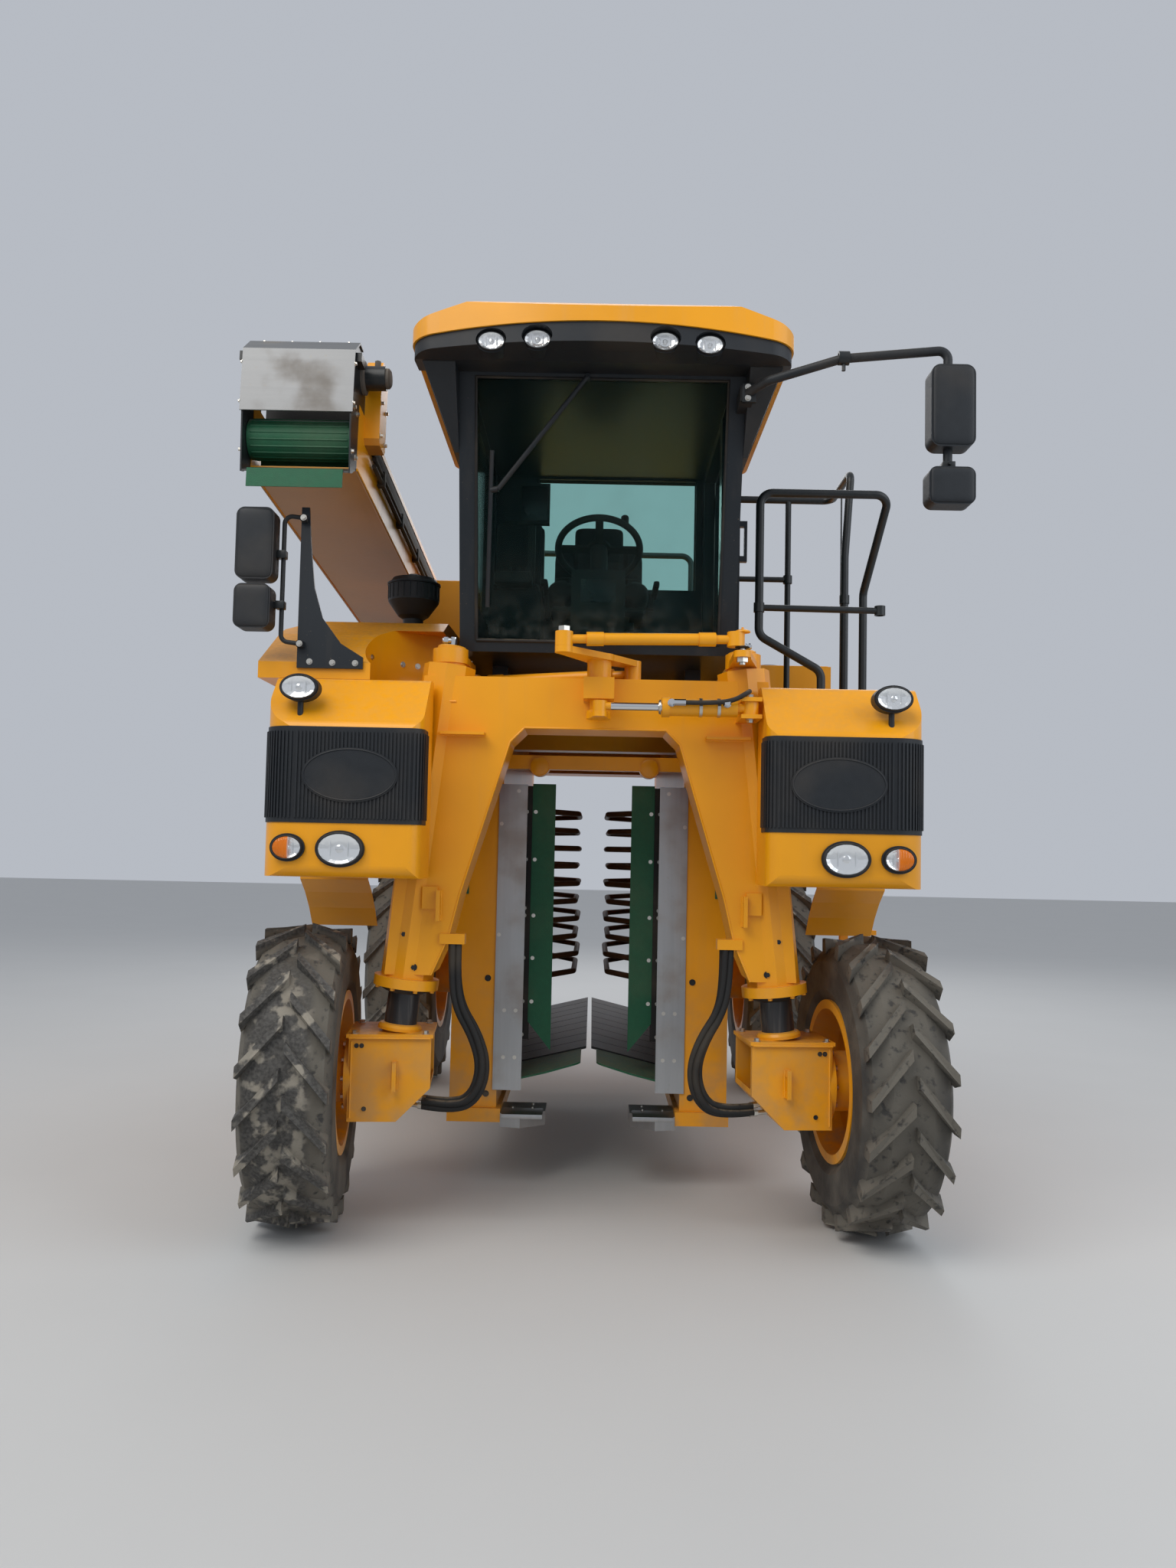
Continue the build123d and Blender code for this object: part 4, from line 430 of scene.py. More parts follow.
def make_finishes(paint):
    """Every finish of the machine by a plain name."""
    yellow, slate, dust = tuple(paint.yellow), tuple(paint.slate), tuple(paint.dust)
    green = tuple(paint.green)
    steel = (0.56, 0.57, 0.58)
    finishes.update({
        "yellow": body_paint("yellow paint", yellow, dust),
        "roof": body_paint("roof paint", yellow, (0.42, 0.36, 0.28), 0.40, 1.9),
        # The brown for the boom's downward faces is dirt with painted shade.
        "boom": body_paint("boom paint", yellow, dust, 0.42, 1.7, 0.2, underside_dirt_and_shade=(0.26, 0.125, 0.030)),
        "left corner": body_paint("left corner paint", yellow, dust, strut=kingpin(1)),
        "right corner": body_paint("right corner paint", yellow, dust, strut=kingpin(-1)),
        "slate": body_paint("slate paint", slate, dust, 0.38, 0.5, 0.2),
        "black": body_paint("black tube paint", (0.010, 0.013, 0.015), dust, 0.40, 0.5, 0.15),
        "steel": bare_steel("bare sheet steel", shade(steel, 0.75), dust, (1.0, 1.0, 0.04), 0.30),
        "hood steel": bare_steel("bent hood steel", shade(steel, 0.44), dust, (0.04, 1.0, 1.0), 0.46),
        "green": moulded("green rubber", green, dust, 0.46, 260.0, 0.0015, 0.45),
        "rods": moulded("brown rods", (0.085, 0.036, 0.016), dust, 0.40, 300.0, 0.0008, 0.4),
        "rubber": moulded("black rubber", (0.014, 0.014, 0.014), dust, 0.62, 240.0, 0.0012, 0.6),
        "scales": moulded("floor scales", (0.010, 0.011, 0.011), dust, 0.42, 200.0, 0.0012, 0.15),
        "plastic": moulded("dark plastic", (0.013, 0.016, 0.020), dust, 0.44, 520.0, 0.0010, 0.30),
        "inside": moulded("cab trim", (0.010, 0.012, 0.014), dust, 0.60, 420.0, 0.0012, 0.2),
        "cast": moulded("cast metal", (0.09, 0.085, 0.08), dust, 0.62, 180.0, 0.002, 0.8),
        "cloth": woven("seat cloth", (0.012, 0.012, 0.015)),
        "screen": moulded("dark screen", (0.006, 0.008, 0.010), dust, 0.16, 600.0, 0.0002, 0.1),
        "glass": window_glass("tinted glass", tuple(paint.glass_tint), (0.010, 0.030, 0.030)),
        "lens": lens_glass("lamp glass"),
        "mirror": polished("mirror glass", (0.80, 0.82, 0.85), 0.02),
        "chrome": polished("chrome", (0.72, 0.73, 0.74), 0.06),
        "bright": polished("reflector chrome", (0.90, 0.91, 0.92), 0.10),
        "steering rod": clevis_rod("steering rod", shade(yellow, 0.95), (0.72, 0.73, 0.74)),
        "zinc": polished("zinc plate", (0.62, 0.60, 0.55), 0.28),
        "front tyre": tyre_rubber("front tyre", tuple(paint.mud), FRONT_AXLE_Y, FRONT_WHEEL_Z),
        "rear tyre": tyre_rubber("rear tyre", tuple(paint.mud), REAR_AXLE_Y, REAR_WHEEL_Z),
    })


SLOT_FINISH = {
    "yellow_paint": "yellow",
    "slate_paint": "slate",
    "black_paint": "black",
    "stainless": "steel",
    "green_rubber": "green",
    "brown_rod": "rods",
    "black_rubber": "rubber",
    "dark_plastic": "plastic",
    "lamp_glass": "lens",
    "cast_metal": "cast",
    "tinted_glass": "glass",
    "seat_cloth": "cloth",
    "mirror": "mirror",
    "chrome": "chrome",
}
NODE_FINISH = {
    "arm_boom": "boom",
    "cab_roof": "roof",
    "knuckle_left": "left corner",
    "scale_plates": "scales",
    "knuckle_right": "right corner",
    "arm_hood": "hood steel",
    "steering_column": "inside",
    "steering_rod": "steering rod",
    "tyre_front_left": "front tyre",
    "tyre_front_right": "front tyre",
    "tyre_rear_left": "rear tyre",
    "tyre_rear_right": "rear tyre",
}


# Shapes
def along(axis):
    """Rotation that turns +Z to the axis."""
    return Vector(axis).to_track_quat("Z", "Y").to_matrix().to_4x4()


class Shape:
    """Collects the solids of one piece and turns them into its object."""

    def __init__(self):
        self.mesh = bmesh.new()

    def bar(self, start, end, radius, sides=20, tip=None):
        start, end = Vector(start), Vector(end)
        run = end - start
        place = Matrix.Translation((start + end) / 2) @ along(run)
        bmesh.ops.create_cone(
            self.mesh, cap_ends=True, segments=sides, radius1=radius, depth=run.length, matrix=place,
            radius2=radius if tip is None else tip,
        )
        return self

    def box(self, low, high, bevel=0.0):
        low, high = Vector(low), Vector(high)
        place = Matrix.Translation((low + high) / 2) @ Matrix.Diagonal((*(high - low), 1.0))
        made = bmesh.ops.create_cube(self.mesh, size=1.0, matrix=place)["verts"]
        if bevel:
            edges = list({edge for vert in made for edge in vert.link_edges})
            bmesh.ops.bevel(self.mesh, geom=edges, offset=bevel, segments=2, affect="EDGES", profile=0.6)
        return self

    def turned(self, centre, axis, profile, sides=32, squash=1.0, hoop=False):
        """Profile of (radius, height) turned about an axis.

        Squash flattens it across, and a hoop is open inside.
        """
        place = Matrix.Translation(Vector(centre)) @ along(axis)
        rings = []
        for radius, height in profile:
            ring = []
            for index in range(sides):
                turn = 2 * pi * index / sides
                spot = Vector((radius * cos(turn), radius * sin(turn) * squash, height))
                ring.append(self.mesh.verts.new(place @ spot))
            rings.append(ring)
        for first, second in zip(rings, rings[1:] + rings[:1] if hoop else rings[1:]):
            for index in range(sides):
                after = (index + 1) % sides
                self.mesh.faces.new((first[index], first[after], second[after], second[index]))
        if not hoop:
            self.mesh.faces.new(reversed(rings[0]))
            self.mesh.faces.new(rings[-1])
        return self

    def pad(self, place, size, seams=(), steps=26):
        """Crowned cushion with pulled-in sides; each seam is an axis and a share of the half size."""
        verts = {}
        for face in (1, -1):
            for i in range(steps + 1):
                for j in range(steps + 1):
                    if face < 0 and (i in (0, steps) or j in (0, steps)):
                        verts[face, i, j] = verts[1, i, j]
                        continue
                    u, v = sin(pi * (i / steps - 0.5)), sin(pi * (j / steps - 0.5))
                    crown = max((1 - abs(u) ** 6) * (1 - abs(v) ** 6), 0) ** 0.4
                    for across, share in seams:
                        crown *= 1 - 0.40 * exp(-(((u, v)[across] - share) / 0.055) ** 2)
                    x = size[0] / 2 * u * (0.985 + 0.015 * v * v - 0.07 * v ** 6)
                    y = size[1] / 2 * v * (0.985 + 0.015 * u * u - 0.07 * u ** 6)
                    spot = Vector((x, y, face * size[2] / 2 * crown))
                    verts[face, i, j] = self.mesh.verts.new(place @ spot)
            for i in range(steps):
                for j in range(steps):
                    corners = ((i, j), (i + 1, j), (i + 1, j + 1), (i, j + 1))
                    quad = [verts[(face, *corner)] for corner in corners]
                    self.mesh.faces.new(quad if face > 0 else quad[::-1])
        return self

    def pipe(self, points, radius, sides=4):
        """Smooth round pipe through control points."""
        curve = bpy.data.curves.new("pipe", "CURVE")
        curve.dimensions = "3D"
        spline = curve.splines.new("NURBS")
        spline.points.add(len(points) - 1)
        for point, place in zip(spline.points, points):
            point.co = (*place, 1.0)
        spline.order_u = 3
        spline.use_endpoint_u = True
        curve.resolution_u = 6
        curve.bevel_depth = radius
        curve.bevel_resolution = sides
        curve.use_fill_caps = True
        holder = bpy.data.objects.new("pipe", curve)
        self.mesh.from_mesh(bpy.data.meshes.new_from_object(holder))
        bpy.data.objects.remove(holder)
        return self

    def placed(self, matrix):
        bmesh.ops.transform(self.mesh, matrix=matrix, verts=self.mesh.verts)
        return self

    def both(self):
        """Adds the mirror image across the middle of the machine."""
        twin = self.mesh.copy()
        bmesh.ops.scale(twin, vec=(-1, 1, 1), verts=twin.verts)
        bmesh.ops.reverse_faces(twin, faces=twin.faces)
        spare = bpy.data.meshes.new("twin")
        twin.to_mesh(spare)
        twin.free()
        self.mesh.from_mesh(spare)
        bpy.data.meshes.remove(spare)
        return self

    def piece(self, name, finish, body, replaces=(), smooth=35.0, slot=None):
        """Finished object that rides on a body."""
        bmesh.ops.remove_doubles(self.mesh, verts=self.mesh.verts, dist=1e-6)
        bmesh.ops.recalc_face_normals(self.mesh, faces=self.mesh.faces)
        mesh = bpy.data.meshes.new(name)
        self.mesh.to_mesh(mesh)
        self.mesh.free()
        return settle(mesh, name, finish, body, replaces, smooth)


def settle(mesh, name, finish, body, replaces=(), smooth=35.0):
    """Links a mesh as a piece with its finish, on its body."""
    mesh.materials.clear()
    mesh.materials.append(finishes[finish])
    made = bpy.data.objects.new(name, mesh)
    bpy.context.scene.collection.objects.link(made)
    if smooth:
        for face in mesh.polygons:
            face.use_smooth = True
        mesh.set_sharp_from_angle(angle=radians(smooth))
    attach(made, body)
    if replaces:
        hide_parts(*replaces)
    return made


# Geometry Nodes
class Tree:
    """A small geometry tree with named inputs, built in Python."""

    def __init__(self, name, inputs):
        self.group = bpy.data.node_groups.new(name, "GeometryNodeTree")
        face = self.group.interface
        face.new_socket("Geometry", in_out="INPUT", socket_type="NodeSocketGeometry")
        for label, kind, value in inputs:
            socket = face.new_socket(label, in_out="INPUT", socket_type=kind)
            if value is not None:
                socket.default_value = value
        face.new_socket("Material", in_out="INPUT", socket_type="NodeSocketMaterial")
        face.new_socket("Geometry", in_out="OUTPUT", socket_type="NodeSocketGeometry")
        self.given = self.group.nodes.new("NodeGroupInput")
        self.result = self.group.nodes.new("NodeGroupOutput")

    def input(self, label):
        return self.given.outputs[label]

    def node(self, kind, settings, inputs, output=0):
        made = self.group.nodes.new(kind)
        for key, value in settings.items():
            setattr(made, key, value)
        for key, value in inputs.items():
            if isinstance(value, bpy.types.NodeSocket):
                self.group.links.new(value, made.inputs[key])
            else:
                made.inputs[key].default_value = value
        return made.outputs[output]

    def close(self, geometry):
        """Ends the tree in Realize Instances and Set Material."""
        real = self.node("GeometryNodeRealizeInstances", {}, {0: geometry})
        inputs = {"Geometry": real, "Material": self.input("Material")}
        painted = self.node("GeometryNodeSetMaterial", {}, inputs)
        self.group.links.new(painted, self.result.inputs[0])
        return self

    def run(self, mesh, name, finish, body, smooth=35.0, **values):
        """Runs the tree on a mesh of points or edges and keeps the result as a plain piece."""
        holder = bpy.data.objects.new(name, mesh)
        bpy.context.scene.collection.objects.link(holder)
        modifier = holder.modifiers.new("repeat", "NODES")
        modifier.node_group = self.group
        values["Material"] = finishes[finish]
        for item in self.group.interface.items_tree:
            label = item.name.replace(" ", "_")
            if item.item_type == "SOCKET" and item.in_out == "INPUT" and label in values:
                modifier[item.identifier] = values[label]
        ready = holder.evaluated_get(bpy.context.evaluated_depsgraph_get())
        result = bpy.data.meshes.new_from_object(ready)
        holder.modifiers.remove(modifier)
        bpy.data.objects.remove(holder)
        if not result.polygons:
            raise RuntimeError(f"{name}: the tree made nothing")
        return settle(result, name, finish, body, smooth=smooth)


def bolt_tree():
    """A washer and a six-sided head on every point, turned to the point's axis."""
    inputs = [("Radius", "NodeSocketFloat", 0.01), ("Height", "NodeSocketFloat", 0.008)]
    tree = Tree("bolts on points", inputs)
    radius, height = tree.input("Radius"), tree.input("Height")
    head = tree.node("GeometryNodeMeshCylinder", {}, {"Vertices": 6, "Radius": radius, "Depth": height})
    half = tree.node("ShaderNodeMath", {"operation": "MULTIPLY"}, {0: height, 1: 0.62})
    lift = tree.node("ShaderNodeCombineXYZ", {}, {"Z": half})
    head = tree.node("GeometryNodeTransform", {}, {"Geometry": head, "Translation": lift})
    wide = tree.node("ShaderNodeMath", {"operation": "MULTIPLY"}, {0: radius, 1: 1.45})
    thin = tree.node("ShaderNodeMath", {"operation": "MULTIPLY"}, {0: height, 1: 0.28})
    washer = tree.node("GeometryNodeMeshCylinder", {}, {"Vertices": 18, "Radius": wide, "Depth": thin})
    both = tree.group.nodes.new("GeometryNodeJoinGeometry")
    tree.group.links.new(head, both.inputs[0])
    tree.group.links.new(washer, both.inputs[0])
    axis = tree.node("GeometryNodeInputNamedAttribute", {"data_type": "FLOAT_VECTOR"}, {"Name": "axis"})
    turn = tree.node("FunctionNodeAlignRotationToVector", {"axis": "Z"}, {"Vector": axis})
    spots = tree.node(
        "GeometryNodeInstanceOnPoints", {},
        {"Points": tree.input("Geometry"), "Instance": both.outputs[0], "Rotation": turn},
    )
    return tree.close(spots)


def slat_tree():
    """Bars of one size spaced along every edge."""
    inputs = [("Count", "NodeSocketInt", 10), ("Size", "NodeSocketVector", (0.01, 0.01, 0.1))]
    tree = Tree("slats along edges", inputs)
    line = tree.node("GeometryNodeMeshToCurve", {}, {"Mesh": tree.input("Geometry")})
    spots = tree.node("GeometryNodeResampleCurve", {}, {"Curve": line, "Count": tree.input("Count")})
    bar = tree.node("GeometryNodeMeshCube", {}, {"Size": tree.input("Size")})
    rows = tree.node("GeometryNodeInstanceOnPoints", {}, {"Points": spots, "Instance": bar})
    return tree.close(rows)


def rib_tree():
    """Bars of one size on points, upright and turned to each point's axis."""
    tree = Tree("ribs on points", [("Size", "NodeSocketVector", (0.007, 0.010, 0.3))])
    bar = tree.node("GeometryNodeMeshCube", {}, {"Size": tree.input("Size")})
    axis = tree.node("GeometryNodeInputNamedAttribute", {"data_type": "FLOAT_VECTOR"}, {"Name": "axis"})
    upright = {"axis": "Y", "pivot_axis": "Z"}
    turn = tree.node("FunctionNodeAlignRotationToVector", upright, {"Vector": axis})
    rows = tree.node(
        "GeometryNodeInstanceOnPoints", {},
        {"Points": tree.input("Geometry"), "Instance": bar, "Rotation": turn},
    )
    return tree.close(rows)


def bead_tree():
    """Round bead swept along every edge, for welds, seals and thin pipes."""
    tree = Tree("bead along edges", [("Radius", "NodeSocketFloat", 0.004), ("Sides", "NodeSocketInt", 8)])
    line = tree.node("GeometryNodeMeshToCurve", {}, {"Mesh": tree.input("Geometry")})
    ring = tree.node(
        "GeometryNodeCurvePrimitiveCircle", {},
        {"Resolution": tree.input("Sides"), "Radius": tree.input("Radius")},
    )
    bead = tree.node(
        "GeometryNodeCurveToMesh", {}, {"Curve": line, "Profile Curve": ring, "Fill Caps": True}
    )
    return tree.close(bead)


def stud_grid_tree():
    """Raised open rings of a grip plate, one on every point."""
    inputs = [("Radius", "NodeSocketFloat", 0.009), ("Height", "NodeSocketFloat", 0.004)]
    tree = Tree("grip rings on points", inputs)
    ring = tree.node(
        "GeometryNodeCurvePrimitiveCircle", {}, {"Resolution": 10, "Radius": tree.input("Radius")}
    )
    rim = tree.node(
        "GeometryNodeCurvePrimitiveCircle", {}, {"Resolution": 4, "Radius": tree.input("Height")}
    )
    lip = tree.node("GeometryNodeCurveToMesh", {}, {"Curve": ring, "Profile Curve": rim})
    axis = tree.node("GeometryNodeInputNamedAttribute", {"data_type": "FLOAT_VECTOR"}, {"Name": "axis"})
    turn = tree.node("FunctionNodeAlignRotationToVector", {"axis": "Z"}, {"Vector": axis})
    spots = tree.node(
        "GeometryNodeInstanceOnPoints", {},
        {"Points": tree.input("Geometry"), "Instance": lip, "Rotation": turn},
    )
    return tree.close(spots)


trees = {}


def tree(name):
    makers = {
        "bolts": bolt_tree,
        "slats": slat_tree,
        "ribs": rib_tree,
        "bead": bead_tree,
        "grip": stud_grid_tree,
    }
    if name not in trees:
        trees[name] = makers[name]()
    return trees[name]


def point_mesh(spots):
    """Mesh of bare points that carry an axis, from (place, axis) pairs."""
    mesh = bpy.data.meshes.new("points")
    mesh.from_pydata([tuple(place) for place, axis in spots], [], [])
    axes = mesh.attributes.new("axis", "FLOAT_VECTOR", "POINT")
    for index, (place, axis) in enumerate(spots):
        axes.data[index].vector = tuple(Vector(axis).normalized())
    return mesh


def edge_mesh(lines):
    """Mesh of bare edges from open or closed runs of places."""
    places, edges = [], []
    for line in lines:
        first = len(places)
        places += [tuple(place) for place in line]
        edges += [(first + index, first + index + 1) for index in range(len(line) - 1)]
    mesh = bpy.data.meshes.new("edges")
    mesh.from_pydata(places, edges, [])
    return mesh


def ring_of(centre, axis, radius, count, phase=0.0):
    """(place, axis) pairs evenly round a circle."""
    turn = Matrix.Translation(Vector(centre)) @ along(axis)
    spots = []
    for index in range(count):
        angle = phase + 2 * pi * index / count
        spots.append((turn @ Vector((radius * cos(angle), radius * sin(angle), 0)), axis))
    return spots


def mirrored(spots):
    """Pairs with their mirror images across the middle of the machine."""
    twins = [(Vector((-p[0], p[1], p[2])), Vector((-a[0], a[1], a[2]))) for p, a in spots]
    return list(spots) + twins


# Turned places
def kingpin(side):
    """(foot, axis) of a kingpin; side is 1 at the driver's left."""
    foot = Vector((side * KINGPIN_FOOT.x, KINGPIN_FOOT.y, KINGPIN_FOOT.z))
    return foot, Vector((-side * sin(KINGPIN_TILT), 0, cos(KINGPIN_TILT)))


def steered(side):
    """Matrix that turns a straight front corner to its parked steering angle."""
    foot, axis = kingpin(side)
    return Matrix.Translation(foot) @ Matrix.Rotation(STEER, 4, axis) @ Matrix.Translation(-foot)


def turned_spots(spots, matrix):
    turn = matrix.to_3x3()
    return [(matrix @ Vector(place), turn @ Vector(axis)) for place, axis in spots]


def arm_place():
    """Matrix from the level drawing of the arm to its folded place."""
    return Matrix.Translation(ARM_PIVOT) @ Matrix.Rotation(-ARM_PITCH, 4, "X")


def cab_face_y(z):
    """Front plane of the cab at a height."""
    share = (z - CAB_BASE[1]) / (CAB_TOP[1] - CAB_BASE[1])
    return CAB_BASE[0] + (CAB_TOP[0] - CAB_BASE[0]) * share


# Operators
class HARVESTER_OT_studio(bpy.types.Operator):
    """Camera, soft lights and a plain pale floor"""

    bl_idname = "harvester.studio"
    bl_label = "Studio"

    def execute(self, context):
        scene = context.scene
        studio = scene.harvester_studio
        scene.view_settings.view_transform = "Standard"
        camera = bpy.data.objects.new("Camera", bpy.data.cameras.new("Camera"))
        scene.collection.objects.link(camera)
        camera.data.sensor_fit = "VERTICAL"
        camera.data.sensor_height = 36.0
        camera.data.lens = studio.lens
        camera.data.clip_end = 200.0
        turn = Matrix.Rotation(studio.turn, 4, "Z") @ Matrix.Rotation(pi / 2 + studio.pitch, 4, "X")
        camera.matrix_world = Matrix.Translation(studio.eye) @ turn @ Matrix.Rotation(studio.roll, 4, "Z")
        scene.camera = camera
        floor = bpy.data.meshes.new("floor")
        reach = 40.0
        corners = [(-reach, -reach, 0), (reach, -reach, 0), (reach, reach, 0), (-reach, reach, 0)]
        floor.from_pydata(corners, [], [(0, 1, 2, 3)])
        floor.materials.append(floor_finish(tuple(studio.floor_tint)))
        ground = bpy.data.objects.new("floor", floor)
        scene.collection.objects.link(ground)
        world = bpy.data.worlds.new("even sky")
        world.use_nodes = True
        world.node_tree.nodes["Background"].inputs[0].default_value = (0.86, 0.91, 1.0, 1.0)
        world.node_tree.nodes["Background"].inputs[1].default_value = studio.sky
        scene.world = world
        lamps = [
            ("key", (-3.5, -6.5, 8.0), 6.0, studio.key_power, (1.0, 0.97, 0.92)),
            ("fill", (6.0, -5.0, 5.0), 6.0, studio.key_power * 0.45, (0.92, 0.96, 1.0)),
            ("back", (1.0, 7.0, 7.5), 6.0, studio.key_power * 0.6, (1.0, 1.0, 1.0)),
        ]
        for name, place, size, power, colour in lamps:
            light = bpy.data.lights.new(name, "AREA")
            light.shape = "SQUARE"
            light.size = size
            light.energy = power
            light.color = colour
            lamp = bpy.data.objects.new(name, light)
            aim = (Vector((0, -0.8, 1.4)) - Vector(place)).to_track_quat("-Z", "Y")
            lamp.matrix_world = Matrix.Translation(place) @ aim.to_matrix().to_4x4()
            scene.collection.objects.link(lamp)
        return {"FINISHED"}


class HARVESTER_OT_finishes(bpy.types.Operator):
    """Finish of every part that came from the CAD source"""

    bl_idname = "harvester.finishes"
    bl_label = "Finishes"

    def execute(self, context):
        make_finishes(context.scene.harvester_paint)
        slots = {entry["node"]: entry["material_slot"] for entry in frame["record"]["subparts"]}
        for node, made in frame["nodes"].items():
            finish = NODE_FINISH.get(node) or SLOT_FINISH[slots[node]]
            for slot in made.material_slots:
                slot.material = finishes[finish]
        return {"FINISHED"}


class HARVESTER_OT_leg_hoses(bpy.types.Operator):
    """Hanging hose bundle beside each front leg, with its fittings"""

    bl_idname = "harvester.leg_hoses"
    bl_label = "Leg hoses"

    def execute(self, context):
        radius = context.scene.harvester_fasteners.hose_radius
        for side, name in ((1, "left"), (-1, "right")):
            node, body = f"leg_hose_{name}", f"knuckle_{name}"
            route = [Vector((side * x, y, z)) for x, y, z in HOSE_ROUTE]
            line = bpy.data.curves.new("hose line", "CURVE")
            line.dimensions = "3D"
            spline = line.splines.new("NURBS")
            spline.points.add(len(route) - 1)
            for point, place in zip(spline.points, route):
                point.co = (*place, 1.0)
            spline.order_u = 3
            spline.use_endpoint_u = True
            line.resolution_u = 8
            holder = bpy.data.objects.new("hose line", line)
            bare = bpy.data.meshes.new_from_object(holder)
            path = [vert.co.copy() for vert in bare.vertices]
            bpy.data.objects.remove(holder)
            strands = self.strands(path, radius)
            hose = strands.piece(f"hose_{name}", "rubber", "chassis", (node,))
            hose.parent = None
            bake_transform(hose)
            end, before = route[-1], route[-2]
            out = (end - before).normalized()
            fitting = Shape()
            for lift in (-0.016, 0.016):
                base = end + Vector((0, 0, lift)) - out * 0.012
                fitting.bar(base, base + out * 0.034, 0.0135, 6)
                fitting.bar(base + out * 0.030, base + out * 0.095, 0.010, 12)
            fitting.piece(f"hose_fitting_{name}", "zinc", body)
        return {"FINISHED"}

    def strands(self, path, radius):
        """Four hoses laid round the bundle's own line, twisting slowly, in one mesh."""
        shape = Shape()
        thin = radius * 0.46
        sides, count = 12, len(path)
        across = Vector((0, 1, 0))
        for strand in range(4):
            rings = []
            for index, centre in enumerate(path):
                ahead = path[min(index + 1, count - 1)] - path[max(index - 1, 0)]
                ahead.normalize()
                first = (across - ahead * across.dot(ahead)).normalized()
                second = ahead.cross(first)
                turn = strand * pi / 2 + 0.5 + 1.6 * index / count
                hub = centre + (first * cos(turn) + second * sin(turn)) * (radius - thin)
                ring = []
                for step in range(sides):
                    angle = 2 * pi * step / sides
                    spot = hub + (first * cos(angle) + second * sin(angle)) * thin
                    ring.append(shape.mesh.verts.new(spot))
                rings.append(ring)
            for low, high in zip(rings, rings[1:]):
                for step in range(sides):
                    after = (step + 1) % sides
                    shape.mesh.faces.new((low[step], low[after], high[after], high[step]))
            shape.mesh.faces.new(reversed(rings[0]))
            shape.mesh.faces.new(rings[-1])
        return shape


class HARVESTER_OT_wheel_nuts(bpy.types.Operator):
    """Nuts, hub caps and valves of the four wheels"""

    bl_idname = "harvester.wheel_nuts"
    bl_label = "Wheel nuts"

    def execute(self, context):
        sizes = context.scene.harvester_fasteners
        for side, name in ((1, "left"), (-1, "right")):
            for end, wheel_x, y, z, disc, rim in (
                ("front", FRONT_WHEEL_X, FRONT_AXLE_Y, FRONT_WHEEL_Z, 0.026, 0.270),
                ("rear", REAR_WHEEL_X, REAR_AXLE_Y, REAR_WHEEL_Z, 0.006, 0.321),
            ):
                turn = steered(side) if end == "front" else Matrix.Identity(4)
                out = Vector((side, 0, 0))
                face = Vector((side * (wheel_x + disc), y, z))
                nuts = ring_of(face + out * 0.004, out, sizes.nut_circle, sizes.wheel_nuts)
                body = f"wheel_{end}_{name}"
                tree("bolts").run(
                    point_mesh(turned_spots(nuts, turn)), f"nuts_{end}_{name}", "zinc", body,
                    Radius=sizes.nut_radius, Height=0.020,
                )
                dome = [(0.078, -0.002), (0.078, 0.030), (0.070, 0.042), (0.030, 0.047), (0.0005, 0.048)]
                cap = Shape().turned(face, out, dome).placed(turn)
                cap.piece(f"hub_cap_{end}_{name}", "yellow", body)
                root = face + Vector((side * 0.020, rim * 0.8, rim * 0.42))
                valve = Shape().bar(root, root + out * 0.045, 0.006, 10)
                valve.bar(root + out * 0.040, root + out * 0.056, 0.0075, 6)
                valve.placed(turn).piece(f"valve_{end}_{name}", "rubber", body)
        return {"FINISHED"}


